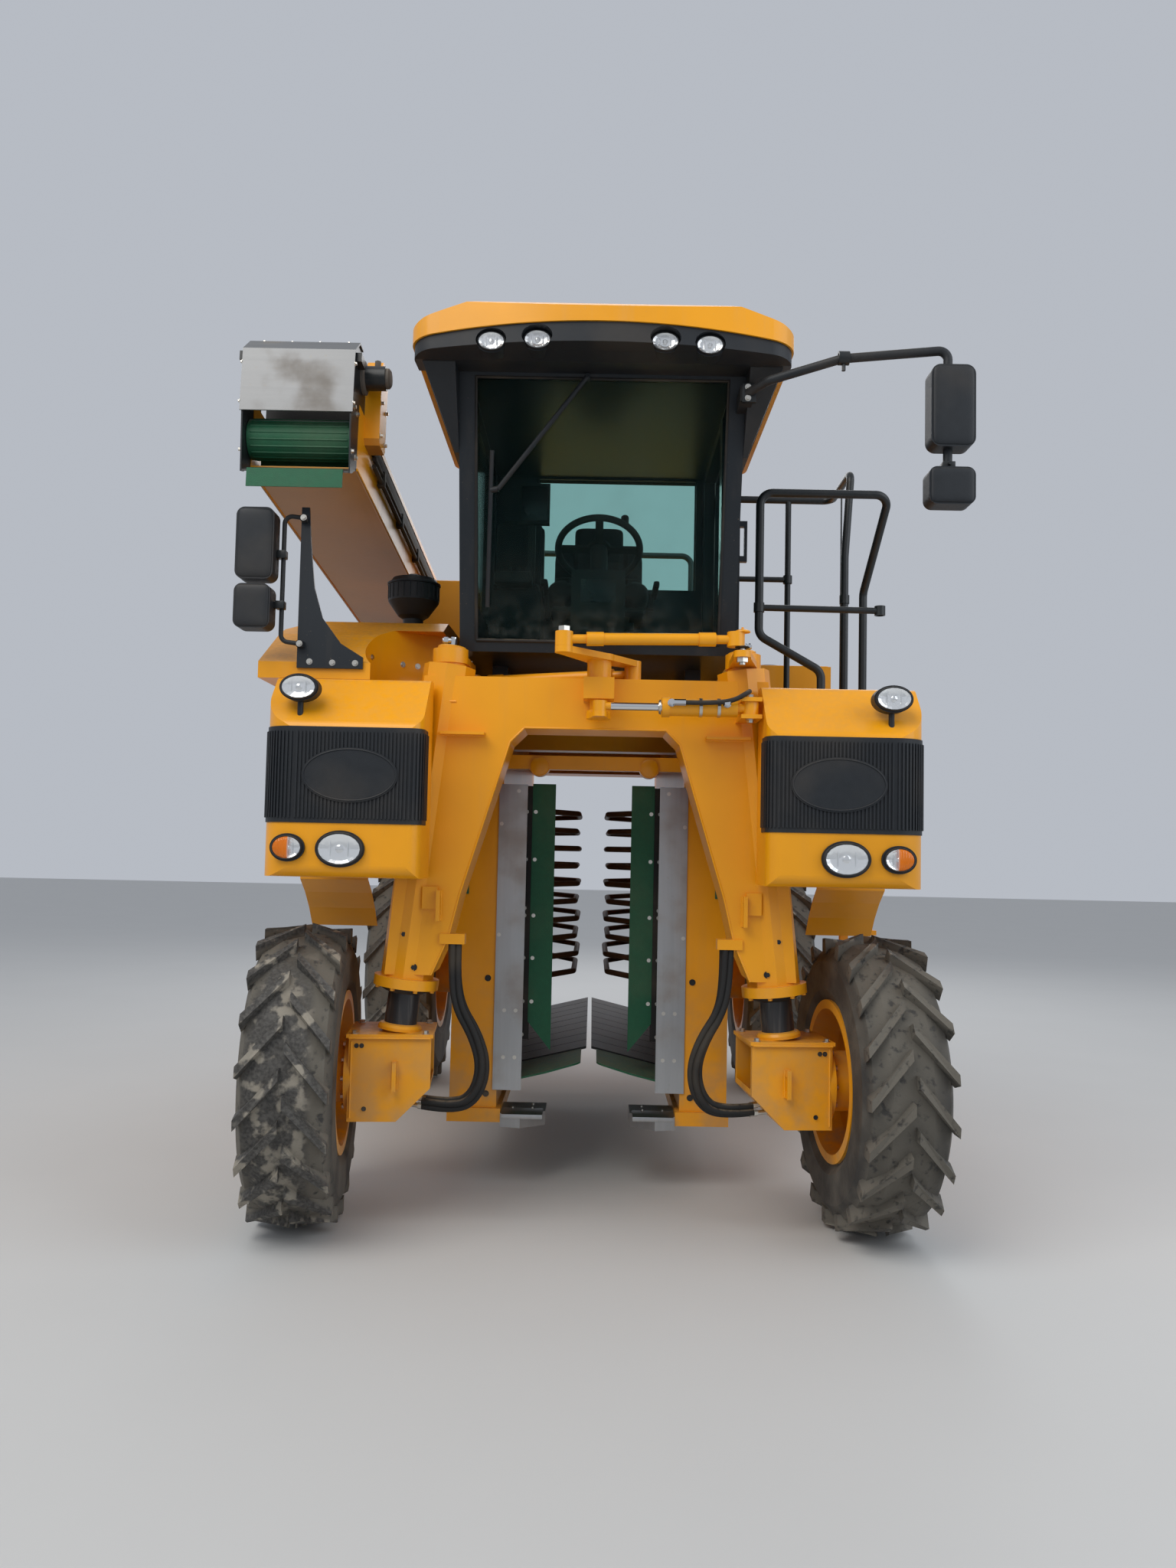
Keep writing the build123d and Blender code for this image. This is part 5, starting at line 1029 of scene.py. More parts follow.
class HARVESTER_OT_knuckles(bpy.types.Operator):
    """Flange bolts, leg seals and top fittings of the front corners"""

    bl_idname = "harvester.knuckles"
    bl_label = "Knuckles"

    def execute(self, context):
        radius = context.scene.harvester_fasteners.bolt_radius
        for side, name in ((1, "left"), (-1, "right")):
            out = Vector((side, 0, 0))
            body = f"knuckle_{name}"
            bolts = ring_of((side * 0.968, FRONT_AXLE_Y, FRONT_WHEEL_Z), out, 0.142, 12)
            for x, y in ((0.652, -2.254), (0.930, -2.254), (0.652, -1.976), (0.930, -1.976)):
                bolts.append((Vector((side * x, y, 0.770)), Vector((0, 0, 1))))
            tree("bolts").run(
                point_mesh(turned_spots(bolts, steered(side))), f"knuckle_bolts_{name}", "zinc", body,
                Radius=radius, Height=0.011,
            )
            places = ((0.900, 0.725), (0.920, 0.725), (0.885, 0.480))
            front = [(Vector((side * x, -2.270, z)), Vector((0, -1, 0))) for x, z in places]
            tree("bolts").run(
                point_mesh(turned_spots(front, steered(side))), f"knuckle_screws_{name}", "black", body,
                Radius=0.0065, Height=0.006,
            )
            welds = [
                [(side * 0.632, -2.279, 0.755), (side * 0.950, -2.279, 0.755)],
                [(side * 0.9405, -2.271, 0.445), (side * 0.9405, -2.271, 0.742)],
                [(side * 0.760, -2.271, 0.556), (side * 0.760, -2.271, 0.664)],
                [(side * 0.778, -2.271, 0.556), (side * 0.778, -2.271, 0.664)],
            ]
            bead = edge_mesh([[steered(side) @ Vector(place) for place in line] for line in welds])
            tree("bead").run(bead, f"knuckle_welds_{name}", "yellow", body, Radius=0.004)
            foot, axis = kingpin(side)
            rim = foot + axis * ((0.945 - foot.z) / axis.z)
            lip = [(0.094, -0.002), (0.094, 0.012), (0.080, 0.020), (0.0665, 0.024), (0.0665, -0.002)]
            seal = Shape().turned(rim, -axis, lip, hoop=True)
            seal.piece(f"leg_seal_{name}", "rubber", "chassis")
            ring = ring_of(rim, -axis, 0.117, 8, 0.3)
            tree("bolts").run(
                point_mesh(ring), f"leg_ring_bolts_{name}", "yellow", "chassis", Radius=0.009, Height=0.009
            )
            low = foot + axis * ((0.775 - foot.z) / axis.z)
            flange = [(0.0655, 0.0), (0.088, 0.0), (0.088, 0.012), (0.080, 0.022), (0.0655, 0.026)]
            collar = Shape().turned(low, axis, flange, hoop=True)
            collar.placed(steered(side)).piece(f"strut_collar_{name}", "yellow", body)
            top = foot + axis * ((2.315 - foot.z) / axis.z)
            fitting = Shape()
            fitting.turned(top, axis, [(0.060, -0.004), (0.060, 0.008), (0.052, 0.014), (0.0005, 0.015)])
            fitting.piece(f"top_cap_{name}", "yellow", body)
            elbow = Shape()
            elbow.bar(top, top + axis * 0.045, 0.015, 6)
            elbow.bar(top + axis * 0.038 - out * 0.008, top + axis * 0.038 + out * 0.045, 0.010)
            elbow.bar(top + axis * 0.038 + out * 0.022, top + axis * 0.038 + out * 0.040, 0.015, 6)
            elbow.bar(top + axis * 0.036, top + axis * 0.052, 0.012)
            elbow.placed(steered(side)).piece(f"top_fitting_{name}", "chrome", body)
        return {"FINISHED"}


class HARVESTER_OT_linkage(bpy.types.Operator):
    """Ball joints, castle nuts, boots and the pipe of the steering linkage"""

    bl_idname = "harvester.linkage"
    bl_label = "Linkage"

    def ball_joint(self, side, centre, eye, way, boot, stud, plate):
        """Boot and stud that stand on the eye of a rod, and the nut on the far side of the arm."""
        x, y = centre
        bell = [(0.026, -0.0005), (0.029, boot / 2), (0.021, boot)]
        rubber = Shape().turned((x, y, eye), (0, 0, way), bell, 24)
        rubber.piece(f"{side}_far_boot", "rubber", f"tie_rod_{side}")
        pin = Shape().bar((x, y, eye - way * 0.002), (x, y, stud), 0.009)
        pin.piece(f"{side}_far_stud", "zinc", f"tie_rod_{side}")
        nut = Shape().bar((x, y, plate), (x, y, plate + way * 0.018), 0.023, 6)
        nut.bar((x, y, plate + way * 0.016), (x, y, plate + way * 0.028), 0.012)
        nut.piece(f"{side}_far_nut", "zinc", f"knuckle_{side}")

    def execute(self, context):
        a, b = (-0.126, -2.500), (0.148, -2.170)
        far = []
        for side, y in ((1, -2.445), (-1, -1.875)):
            top = steered(side) @ Vector((side * 0.5345, y, 2.255))
            far.append((top.x, top.y))
        self.ball_joint("left", far[0], 2.3003, -1, 0.0062, 2.2678, 2.2578)
        self.ball_joint("right", far[1], 2.2530, 1, 0.0026, 2.2830, 2.2975)
        for name, (x, y), z in (("left", far[0], 2.3565), ("right", far[1], 2.1965)):
            up = 1 if z > 2.3 else -1
            dome = [(0.030, -0.001), (0.029, 0.004), (0.020, 0.009), (0.0005, 0.011)]
            cap = Shape().turned((x, y, z), (0, 0, up), dome, 24)
            cap.bar((x, y, z + up * 0.009), (x, y, z + up * 0.019), 0.005, 8)
            cap.piece(f"eye_cap_{name}", "yellow", f"tie_rod_{name}")
        nuts = Shape()
        nuts.bar((*a, 2.3368), (*a, 2.3560), 0.024, 6)
        nuts.bar((*b, 2.1780), (*b, 2.1962), 0.024, 6)
        nuts.bar((0.011, -2.310, 2.2795), (0.011, -2.310, 2.2850), 0.030, 6)
        nuts.piece("lever_nuts", "zinc", "lever")
        y = -2.400
        ports = Shape()
        for x in (0.292, 0.505):
            ports.bar((x, y - 0.030, 2.078), (x, y - 0.058, 2.082), 0.0125, 6)
            ports.bar((x, y - 0.020, 2.076), (x, y - 0.040, 2.080), 0.016)
        ports.bar((0.300, y - 0.049, 2.081), (0.345, y - 0.049, 2.081), 0.0125, 6)
        ports.piece("barrel_ports", "chrome", "chassis")
        route = [
            (0.335, y - 0.049, 2.081), (0.40, y - 0.049, 2.080), (0.52, y - 0.050, 2.086),
            (0.585, y - 0.045, 2.125), (0.600, y + 0.02, 2.140), (0.600, y + 0.10, 2.140),
            (0.600, y + 0.148, 2.140),
        ]
        Shape().pipe(route, 0.0095).piece("barrel_pipe", "rubber", "chassis")
        bands = Shape()
        band = [(0.0342, 0), (0.0375, 0), (0.0375, 0.012), (0.0342, 0.012)]
        for x in (0.400, 0.470):
            bands.turned((x, y, 2.067), (1, 0, 0), band, 32, hoop=True)
        gland = [(0.016, 0.0), (0.030, 0.0), (0.026, 0.008), (0.016, 0.010)]
        bands.turned((0.252, y, 2.067), (-1, 0, 0), gland, 32, hoop=True)
        bands.piece("barrel_bands", "zinc", "chassis")
        pin = [((0.600, y, 2.1085), (0, 0, 1)), ((0.600, y, 2.0255), (0, 0, -1))]
        tree("bolts").run(
            point_mesh(pin), "barrel_pin_bolts", "zinc", "chassis", Radius=0.014, Height=0.012
        )
        return {"FINISHED"}


class HARVESTER_OT_grilles(bpy.types.Operator):
    """Upright ribs that carry the grilles round the corners of the hoods"""

    bl_idname = "harvester.grilles"
    bl_label = "Grilles"

    def execute(self, context):
        middle = sum(GRILLE_Z) / 2
        spots = []
        for centre_x, reach, way, count in (
            (HOOD_X[1] - HOOD_CORNERS[1], HOOD_CORNERS[1] + 0.004, 1, 13),
            (HOOD_X[0] + HOOD_CORNERS[0], HOOD_CORNERS[0] + 0.004, -1, 6),
        ):
            centre_y = HOOD_FRONT_Y + reach - 0.004
            for index in range(count):
                angle = pi / 2 * (index + 0.5) / count
                axis = Vector((way * sin(angle), -cos(angle), 0))
                spots.append((Vector((centre_x, centre_y, middle)) + axis * reach, axis))
        for index in range(5):
            spots.append((Vector((HOOD_X[0] - 0.004, -2.491 + index * 0.0142, middle)), Vector((-1, 0, 0))))
        tree("ribs").run(
            point_mesh(mirrored(spots)), "grille_corner_ribs", "plastic", "chassis", smooth=0,
            Size=(0.0066, 0.010, GRILLE_Z[1] - GRILLE_Z[0] - 0.036),
        )
        rims = []
        for side in (1, -1):
            oval = []
            for index in range(49):
                angle = 2 * pi * index / 48
                x, z = side * 0.914 + 0.173 * cos(angle), middle + 0.096 * sin(angle)
                oval.append((x, HOOD_FRONT_Y - 0.013, z))
            rims.append(oval)
        tree("bead").run(edge_mesh(rims), "grille_oval_rims", "plastic", "chassis", Radius=0.003)
        return {"FINISHED"}


class HARVESTER_OT_lamps(bpy.types.Operator):
    """Domed lenses over faceted reflectors, each in its bezel"""

    bl_idname = "harvester.lamps"
    bl_label = "Lamps"

    def execute(self, context):
        domes, bowls, bezels, bulbs = Shape(), Shape(), Shape(), Shape()
        forward = (0, -1, 0)
        for x, z, face, wide, tall in LAMPS:
            squash = tall / wide
            place = (x, face, z)
            domes.turned(place, forward, [
                (wide * 0.985, 0.0098), (wide * 0.97, 0.0116), (wide * 0.86, 0.0150), (wide * 0.62, 0.0180),
                (wide * 0.32, 0.0198), (0.0005, 0.0204),
            ], 48, squash)
            bowls.turned(place, forward, [
                (wide * 0.97, 0.0004), (wide * 0.97, 0.0094), (wide * 0.78, 0.0052), (wide * 0.50, 0.0022),
                (wide * 0.30, 0.0012), (0.0005, 0.0010),
            ], 18, squash)
            bezels.turned(place, forward, [
                (wide * 1.10, 0.0002), (wide * 1.10, 0.0080), (wide * 1.05, 0.0120), (wide * 0.99, 0.0110),
                (wide * 0.975, 0.0002),
            ], 48, squash, hoop=True)
            bulbs.turned(place, forward, [
                (wide * 0.19, 0.0012), (wide * 0.19, 0.0058), (wide * 0.13, 0.0084), (0.0005, 0.0090)
            ], 20)
            for angle in (-0.62, 0.62):
                bulbs.box(
                    (x + sin(angle) * wide * 0.7 - 0.0015, face - 0.0090, z - tall * 0.45),
                    (x + sin(angle) * wide * 0.7 + 0.0015, face - 0.0030, z + tall * 0.45),
                )
        domes.piece("lamp_domes", "lens", "chassis", ("lamp_lenses",), slot="lamp_glass")
        bowls.piece("reflectors", "bright", "chassis", smooth=0)
        bezels.piece("lamp_bezels", "plastic", "chassis")
        bulbs.piece("lamp_bulbs", "chrome", "chassis")
        return {"FINISHED"}


class HARVESTER_OT_cab(bpy.types.Operator):
    """Window seals, screens and cab trim"""

    bl_idname = "harvester.cab"
    bl_label = "Cab"

    def execute(self, context):
        screen = ((-0.505, 2.375), (-0.505, 3.390), (0.505, 3.390), (0.505, 2.375))
        seal = [(x, cab_face_y(z) - 0.001, z) for x, z in screen]
        back = ((-0.310, 2.830), (-0.310, 3.390), (0.490, 3.390), (0.490, 2.830))
        rear = [(x, -1.022, z) for x, z in back]
        outside = [(x, -0.9985, z) for x, z in back]
        window = ((-2.000, 2.560), (-2.210, 3.390), (-1.090, 3.390), (-1.090, 2.560))
        side = [(-0.576, y, z) for y, z in window]
        lines = [line + line[:1] for line in (seal, rear, outside, side)]
        tree("bead").run(edge_mesh(lines), "window_seals", "rubber", "chassis", Radius=0.008)
        leaf = ((-1.820, 2.460), (-1.820, 3.340), (-1.150, 3.340), (-1.150, 2.460))
        door = [(0.6135, y, z) for y, z in leaf]
        tree("bead").run(edge_mesh([door + door[:1]]), "door_seal", "rubber", "door", Radius=0.007)
        screens = Shape().box((-0.362, -1.5805, 3.024), (-0.242, -1.5755, 3.186), 0.002)
        screens.box((-0.075, -1.9925, 2.560), (0.075, -1.9895, 2.660), 0.001)
        screens.piece("screens", "screen", "chassis")
        trim = Shape()
        trim.bar((-0.333, -1.541, 3.060), (-0.313, -1.538, 3.060), 0.020, 12)
        trim.box((-0.470, -1.700, 2.705), (-0.300, -1.570, 2.760), 0.015)
        for x in (-0.445, -0.405, -0.365, -0.325):
            trim.bar((x, -1.640, 2.758), (x, -1.632, 2.792), 0.009, 10)
        trim.box((-0.120, -1.9920, 2.400), (0.120, -1.9885, 2.420), 0.001)
        trim.piece("cab_controls", "inside", "chassis")
        axis = Vector((0, 100, 150)).normalized()
        hub = Shape().turned(
            Vector((0, -1.807, 2.835)) - axis * 0.004, axis,
            [(0.052, 0.0), (0.052, 0.018), (0.040, 0.028), (0.0005, 0.030)], 32,
        )
        knob = Vector((0.110, -1.807, 2.835)) + Vector((0, -0.120, 0.080)).normalized() * 0.140
        hub.bar(knob, knob + axis * 0.050, 0.017, 16)
        hub.piece("wheel_boss", "inside", "chassis")
        return {"FINISHED"}


class HARVESTER_OT_seats(bpy.types.Operator):
    """Padded driver's seat and second seat"""

    bl_idname = "harvester.seats"
    bl_label = "Seats"

    def execute(self, context):
        lean = Matrix.Rotation(pi / 2 - radians(17), 4, "X")
        upright = Matrix.Rotation(pi / 2, 4, "X")
        flat = Matrix.Identity(4)
        channels = ((0, -0.58), (0, 0.58), (1, -0.25), (1, 0.30))
        pads = (
            ("seat_cushion", (0, -1.335, 2.704), flat, (0.480, 0.460, 0.140), channels),
            ("seat_back", (0, -1.152, 2.872), lean, (0.440, 0.270, 0.120), channels),
            ("seat_headrest", (0, -1.106, 3.048), lean, (0.245, 0.150, 0.085), ((0, 0.0),)),
            ("second_cushion", (-0.382, -1.484, 2.716), flat, (0.222, 0.150, 0.060), ()),
            ("second_back", (-0.378, -1.414, 2.885), upright, (0.222, 0.345, 0.058), ((1, -0.3), (1, 0.3))),
        )
        for name, place, turn, size, seams in pads:
            pad = Shape().pad(Matrix.Translation(place) @ turn, size, seams)
            pad.piece(name, "cloth", "chassis")
        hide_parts("seat")
        base = Shape()
        for index in range(6):
            half = 0.150 if index % 2 else 0.172
            low = (-half, -1.32 - half * 0.8, 2.400 + index * 0.036)
            high = (half, -1.32 + half * 0.8, 2.438 + index * 0.036)
            base.box(low, high, 0.008)
        base.box((-0.190, -1.460, 2.380), (0.190, -1.180, 2.402), 0.006)
        base.box((-0.215, -1.520, 2.612), (0.215, -1.130, 2.640), 0.010)
        base.box((0.262, -1.440, 2.757), (0.290, -1.140, 2.787), 0.010)
        base.box((0.205, -1.200, 2.700), (0.275, -1.150, 2.775), 0.008)
        base.box((-0.275, -1.440, 2.757), (-0.240, -1.160, 2.787), 0.010)
        base.box((-0.262, -1.200, 2.640), (-0.230, -1.160, 2.775), 0.008)
        base.box((0.205, -1.215, 2.640), (0.235, -1.150, 2.720), 0.006)
        for x in (-0.050, 0.050):
            base.bar((x, -1.122, 2.960), (x, -1.110, 3.020), 0.006, 10)
        base.piece("seat_frame", "inside", "chassis")
        return {"FINISHED"}


class HARVESTER_OT_mirrors(bpy.types.Operator):
    """Moulded backs, clamps and fin bolts of the mirrors"""

    bl_idname = "harvester.mirrors"
    bl_label = "Mirrors"

    def execute(self, context):
        upright = Matrix.Rotation(pi / 2, 4, "X")
        backs = Shape()
        for low, high, face in (
            ((-1.410, 2.530), (-1.262, 2.812), -2.4450),
            ((-1.410, 2.338), (-1.268, 2.512), -2.4450),
            ((1.212, 3.015), (1.376, 3.324), -2.6950),
            ((1.205, 2.800), (1.376, 2.940), -2.6950),
        ):
            middle = ((low[0] + high[0]) / 2, face, (low[1] + high[1]) / 2)
            size = (high[0] - low[0] - 0.010, high[1] - low[1] - 0.010, 0.018)
            backs.pad(Matrix.Translation(middle) @ upright, size)
        backs.piece("mirror_backs", "plastic", "chassis")
        clamps = Shape()
        for z in (2.955, 2.890):
            clamps.box((1.262, -2.6745, z - 0.012), (1.308, -2.6260, z + 0.012), 0.003)
        for z in (2.640, 2.440):
            clamps.box((-1.262, -2.3995, z - 0.016), (-1.226, -2.3600, z + 0.016), 0.004)
        clamps.bar((1.285, -2.690, 2.955), (1.285, -2.600, 2.955), 0.007, 6)
        clamps.box((0.545, -2.450, 3.262), (0.600, -2.430, 3.338), 0.004)
        band = [(0.018, -0.02), (0.026, -0.02), (0.026, 0.02), (0.018, 0.02)]
        clamps.turned((0.905, -2.612, 3.373), (1, 0, 0), band, 24, hoop=True)
        clamps.bar((0.905, -2.612, 3.360), (0.905, -2.612, 3.325), 0.008, 6)
        clamps.piece("mirror_clamps", "black", "chassis")
        bolts = [((x, -2.3523, z), (0, -1, 0)) for x, z in ((-1.13, 2.225), (-1.04, 2.222), (-0.95, 2.222))]
        bolts += [((-1.164, -2.3853, z), (0, -1, 0)) for z in (2.790, 2.290)]
        bolts += [((0.568, -2.4500, z), (0, -1, 0)) for z in (3.278, 3.322)]
        tree("bolts").run(point_mesh(bolts), "mirror_bolts", "zinc", "chassis", Radius=0.0085, Height=0.007)
        return {"FINISHED"}


class HARVESTER_OT_frame_bolts(bpy.types.Operator):
    """Bolt heads, welds, seals and tags on the portal, hoods, bonnet and picking head"""

    bl_idname = "harvester.frame_bolts"
    bl_label = "Frame bolts"

    def execute(self, context):
        radius = context.scene.harvester_fasteners.bolt_radius
        forward = Vector((0, -1, 0))
        spots = []
        for x, y in ((0.705, -1.72), (1.19, -1.72), (1.19, -2.28)):
            spots += mirrored([(Vector((x, y, 2.160)), Vector((0, 0, 1)))])
        for y, z in ((-2.10, 1.43), (-1.75, 1.62), (-1.75, 2.11), (-2.25, 2.11)):
            spots += mirrored([(Vector((1.250, y, z)), Vector((1, 0, 0)))])
        for angle in (12, 46, 58, 75):
            turn = radians(angle)
            place = Vector((-0.592 - 0.350 * cos(turn), -2.160 + 0.350 * sin(turn), 2.290))
            spots.append((place, Vector((cos(turn), -sin(turn), 0))))
        for x in (-1.26, -1.00, -0.76):
            spots.append((Vector((x, -1.20, 2.5143)), Vector((0, -0.032, 1))))
        tree("bolts").run(
            point_mesh(spots), "cover_bolts", "zinc", "chassis", Radius=radius * 0.8, Height=0.006
        )
        rows = []
        for x, z in (
            (0.383, 0.783), (0.332, 0.783), (0.383, 0.575), (0.332, 0.575),
            (0.415, 1.12), (0.415, 1.62), (0.340, 1.77),
        ):
            rows += mirrored([(Vector((x, -1.608, z)), forward)])
        seal_face = -1.4976
        for z in (1.236, 1.203, 1.009, 0.811, 0.660, 1.460, 1.680):
            rows += mirrored([(Vector((0.308, seal_face, z)), forward)])
        for z in (1.203, 1.009, 0.811, 1.460, 1.680):
            rows += mirrored([(Vector((CURTAIN_EDGE - 0.015, -1.500, z)), forward)])
        seals = Shape().box((CURTAIN_EDGE - 0.005, seal_face, 0.640), (0.3955, -1.4936, 1.800))
        seals.both().piece("mouth_seals", "rubber", "chassis")
        for x, y in ((0.250, -1.50), (0.340, -1.50), (0.250, -1.42)):
            rows += mirrored([(Vector((x, y, 0.330)), Vector((0, 0, 1)))])
        tree("bolts").run(point_mesh(rows), "head_bolts", "zinc", "chassis", Radius=0.0062, Height=0.005)
        dark = []
        for x, z in ((0.700, 1.030), (0.742, 1.160)):
            dark += mirrored([(Vector((x, -2.250, z)), forward)])
        for x, z in ((0.460, 0.924), (0.457, 0.411)):
            dark += mirrored([(Vector((x, -1.600, z)), forward)])
        tree("bolts").run(point_mesh(dark), "dark_bolts", "black", "chassis", Radius=0.010, Height=0.008)
        welds = []
        for side in (1, -1):
            for z in (1.955, 1.967):
                welds.append([(side * 0.440, -2.2505, z), (side * 0.615, -2.2505, z)])
            welds.append([(side * 0.598, -2.2505, 1.216), (side * 0.598, -2.2505, 1.337)])
            welds.append([(side * 0.560, -2.2505, 2.092), (side * 0.640, -2.2505, 2.092)])
        welds.append([(-0.049, -2.2505, 2.100), (0.071, -2.2505, 2.100)])
        welds.append([(-0.285, -2.2495, 1.992), (0.285, -2.2495, 1.992)])
        leg = ((0.285, 1.990), (0.340, 1.935), (0.527, 1.320), (0.567, 1.150), (0.632, 1.000))
        for side in (1, -1):
            welds.append([(side * x, -2.2495, z) for x, z in leg])
        tree("bead").run(edge_mesh(welds), "portal_welds", "yellow", "chassis", Radius=0.004)
        tags = Shape()
        tags.box((0.556, -1.6065, 1.300), (0.612, -1.6003, 1.446), 0.002)
        tags.both().piece("head_tags", "green", "chassis")
        lip = Shape()
        lip.box((0.200, -1.640, 0.310), (0.384, -1.500, 0.3305), 0.003)
        lip.both().piece("toe_lips", "steel", "chassis")
        hang = Shape()
        for x in (-0.250, 0.250):
            boss = [(0.040, -0.001), (0.040, 0.010), (0.030, 0.014), (0.0005, 0.015)]
            hang.turned((x, -1.598, 1.886), (0, -1, 0), boss, 24)
        hang.piece("bar_bosses", "yellow", "chassis")
        return {"FINISHED"}


class HARVESTER_OT_arm(bpy.types.Operator):
    """Studs, rivets, side pipes, cleats, flap and motor end of the discharge arm"""

    bl_idname = "harvester.arm"
    bl_label = "Arm"

    def execute(self, context):
        place = arm_place()
        face = 0.274
        studs = [((face, y, z), (1, 0, 0)) for y in (-3.508, -3.410) for z in (0.11, 0.25, 0.39)]
        studs += [((0.2122, y, z), (1, 0, 0)) for y in (-3.745, -3.680) for z in (-0.06, 0.12)]
        studs += [((-0.2122, y, z), (-1, 0, 0)) for y in (-3.745, -3.680, -3.56) for z in (-0.06, 0.12)]
        tree("bolts").run(
            point_mesh(turned_spots(studs, place)), "arm_studs", "zinc", "arm", Radius=0.008, Height=0.010
        )
        rivets = [((x, -3.690, 0.4072), (0, 0, 1)) for x in (-0.165, -0.054, 0.056, 0.170)]
        rivets += [((side * 0.2182, -3.780, z), (side, 0, 0)) for side in (-1, 1) for z in (0.12, 0.28)]
        tree("bolts").run(
            point_mesh(turned_spots(rivets, place)), "hood_rivets", "zinc", "arm",
            Radius=0.0065, Height=0.006,
        )
        pipes = Shape()
        for z in (0.030, 0.062):
            pipes.pipe([(0.230, y, z) for y in (-3.385, -3.2, -2.0, -0.9, -0.25)], 0.010)
        for y in (-3.2, -2.7, -2.2, -1.7, -1.2, -0.7, -0.3):
            pipes.box((0.2115, y - 0.015, 0.012), (0.245, y + 0.015, 0.080), 0.004)
        pipes.box((0.2115, -3.384, 0.086), (0.2245, -0.110, 0.150), 0.003)
        pipes.placed(place).piece("arm_pipes", "rubber", "arm")
        flap = Shape().box((-0.2105, -3.462, 0.100), (0.2105, -3.457, 0.396))
        flap.placed(place).piece("head_flap", "rubber", "arm")
        motor = Shape()
        lid = [(0.040, 0), (0.040, 0.012), (0.030, 0.020), (0.0005, 0.021)]
        motor.turned((0.3065, -3.600, 0.310), (1, 0, 0), lid, 32)
        flange = [(0.049, 0), (0.066, 0), (0.066, 0.012), (0.049, 0.016)]
        motor.turned((0.2125, -3.600, 0.310), (1, 0, 0), flange, 32, hoop=True)
        motor.bar((0.270, -3.600, 0.352), (0.270, -3.600, 0.382), 0.013, 6)
        motor.bar((0.285, -3.565, 0.345), (0.285, -3.545, 0.368), 0.013, 6)
        motor.placed(place).piece("arm_motor_end", "cast", "arm")
        cleats = [[(0.0, -3.50, -0.0105), (0.0, 0.05, -0.0105)]]
        cleat_mesh = edge_mesh([[place @ Vector(spot) for spot in line] for line in cleats])
        tree("slats").run(
            cleat_mesh, "belt_cleats", "green", "arm", smooth=0, Count=15, Size=(0.340, 0.010, 0.018)
        )
        lagging = Shape()
        for index in range(18):
            turn = 2 * pi * index / 18
            y, z = -3.650 + 0.0775 * cos(turn), 0.020 + 0.0775 * sin(turn)
            lagging.bar((-0.190, y, z), (0.190, y, z), 0.004, 6)
        lagging.placed(place).piece("roller_ribs", "green", "arm")
        edges = []
        for x in (-0.212, 0.212):
            edges.append([place @ Vector((x, -3.385, 0.180)), place @ Vector((x, 0.185, 0.180))])
            edges.append([place @ Vector((x, -3.635, -0.090)), place @ Vector((x, 0.185, -0.090))])
        tree("bead").run(edge_mesh(edges), "boom_edge_beads", "boom", "arm", Radius=0.006)
        pins = [((ARM_PIVOT.x + side * 0.2525, ARM_PIVOT.y, ARM_PIVOT.z), (side, 0, 0)) for side in (-1, 1)]
        tree("bolts").run(point_mesh(pins), "arm_pin_bolts", "zinc", "turret", Radius=0.022, Height=0.016)
        table = []
        for x in (-1.400, -1.175, -0.950):
            table += [((x, 1.145, 2.590), (0, 0, 1)), ((x, 1.425, 2.590), (0, 0, 1))]
        tree("bolts").run(point_mesh(table), "turret_bolts", "zinc", "turret", Radius=0.014, Height=0.012)
        flange = [(0.1405, 0), (0.148, 0), (0.148, 0.010), (0.1405, 0.014)]
        ring = Shape().turned((ARM_PIVOT.x, 1.300, 2.2552), (0, 0, 1), flange, 48, hoop=True)
        ring.piece("slew_ring", "cast", "chassis")
        return {"FINISHED"}


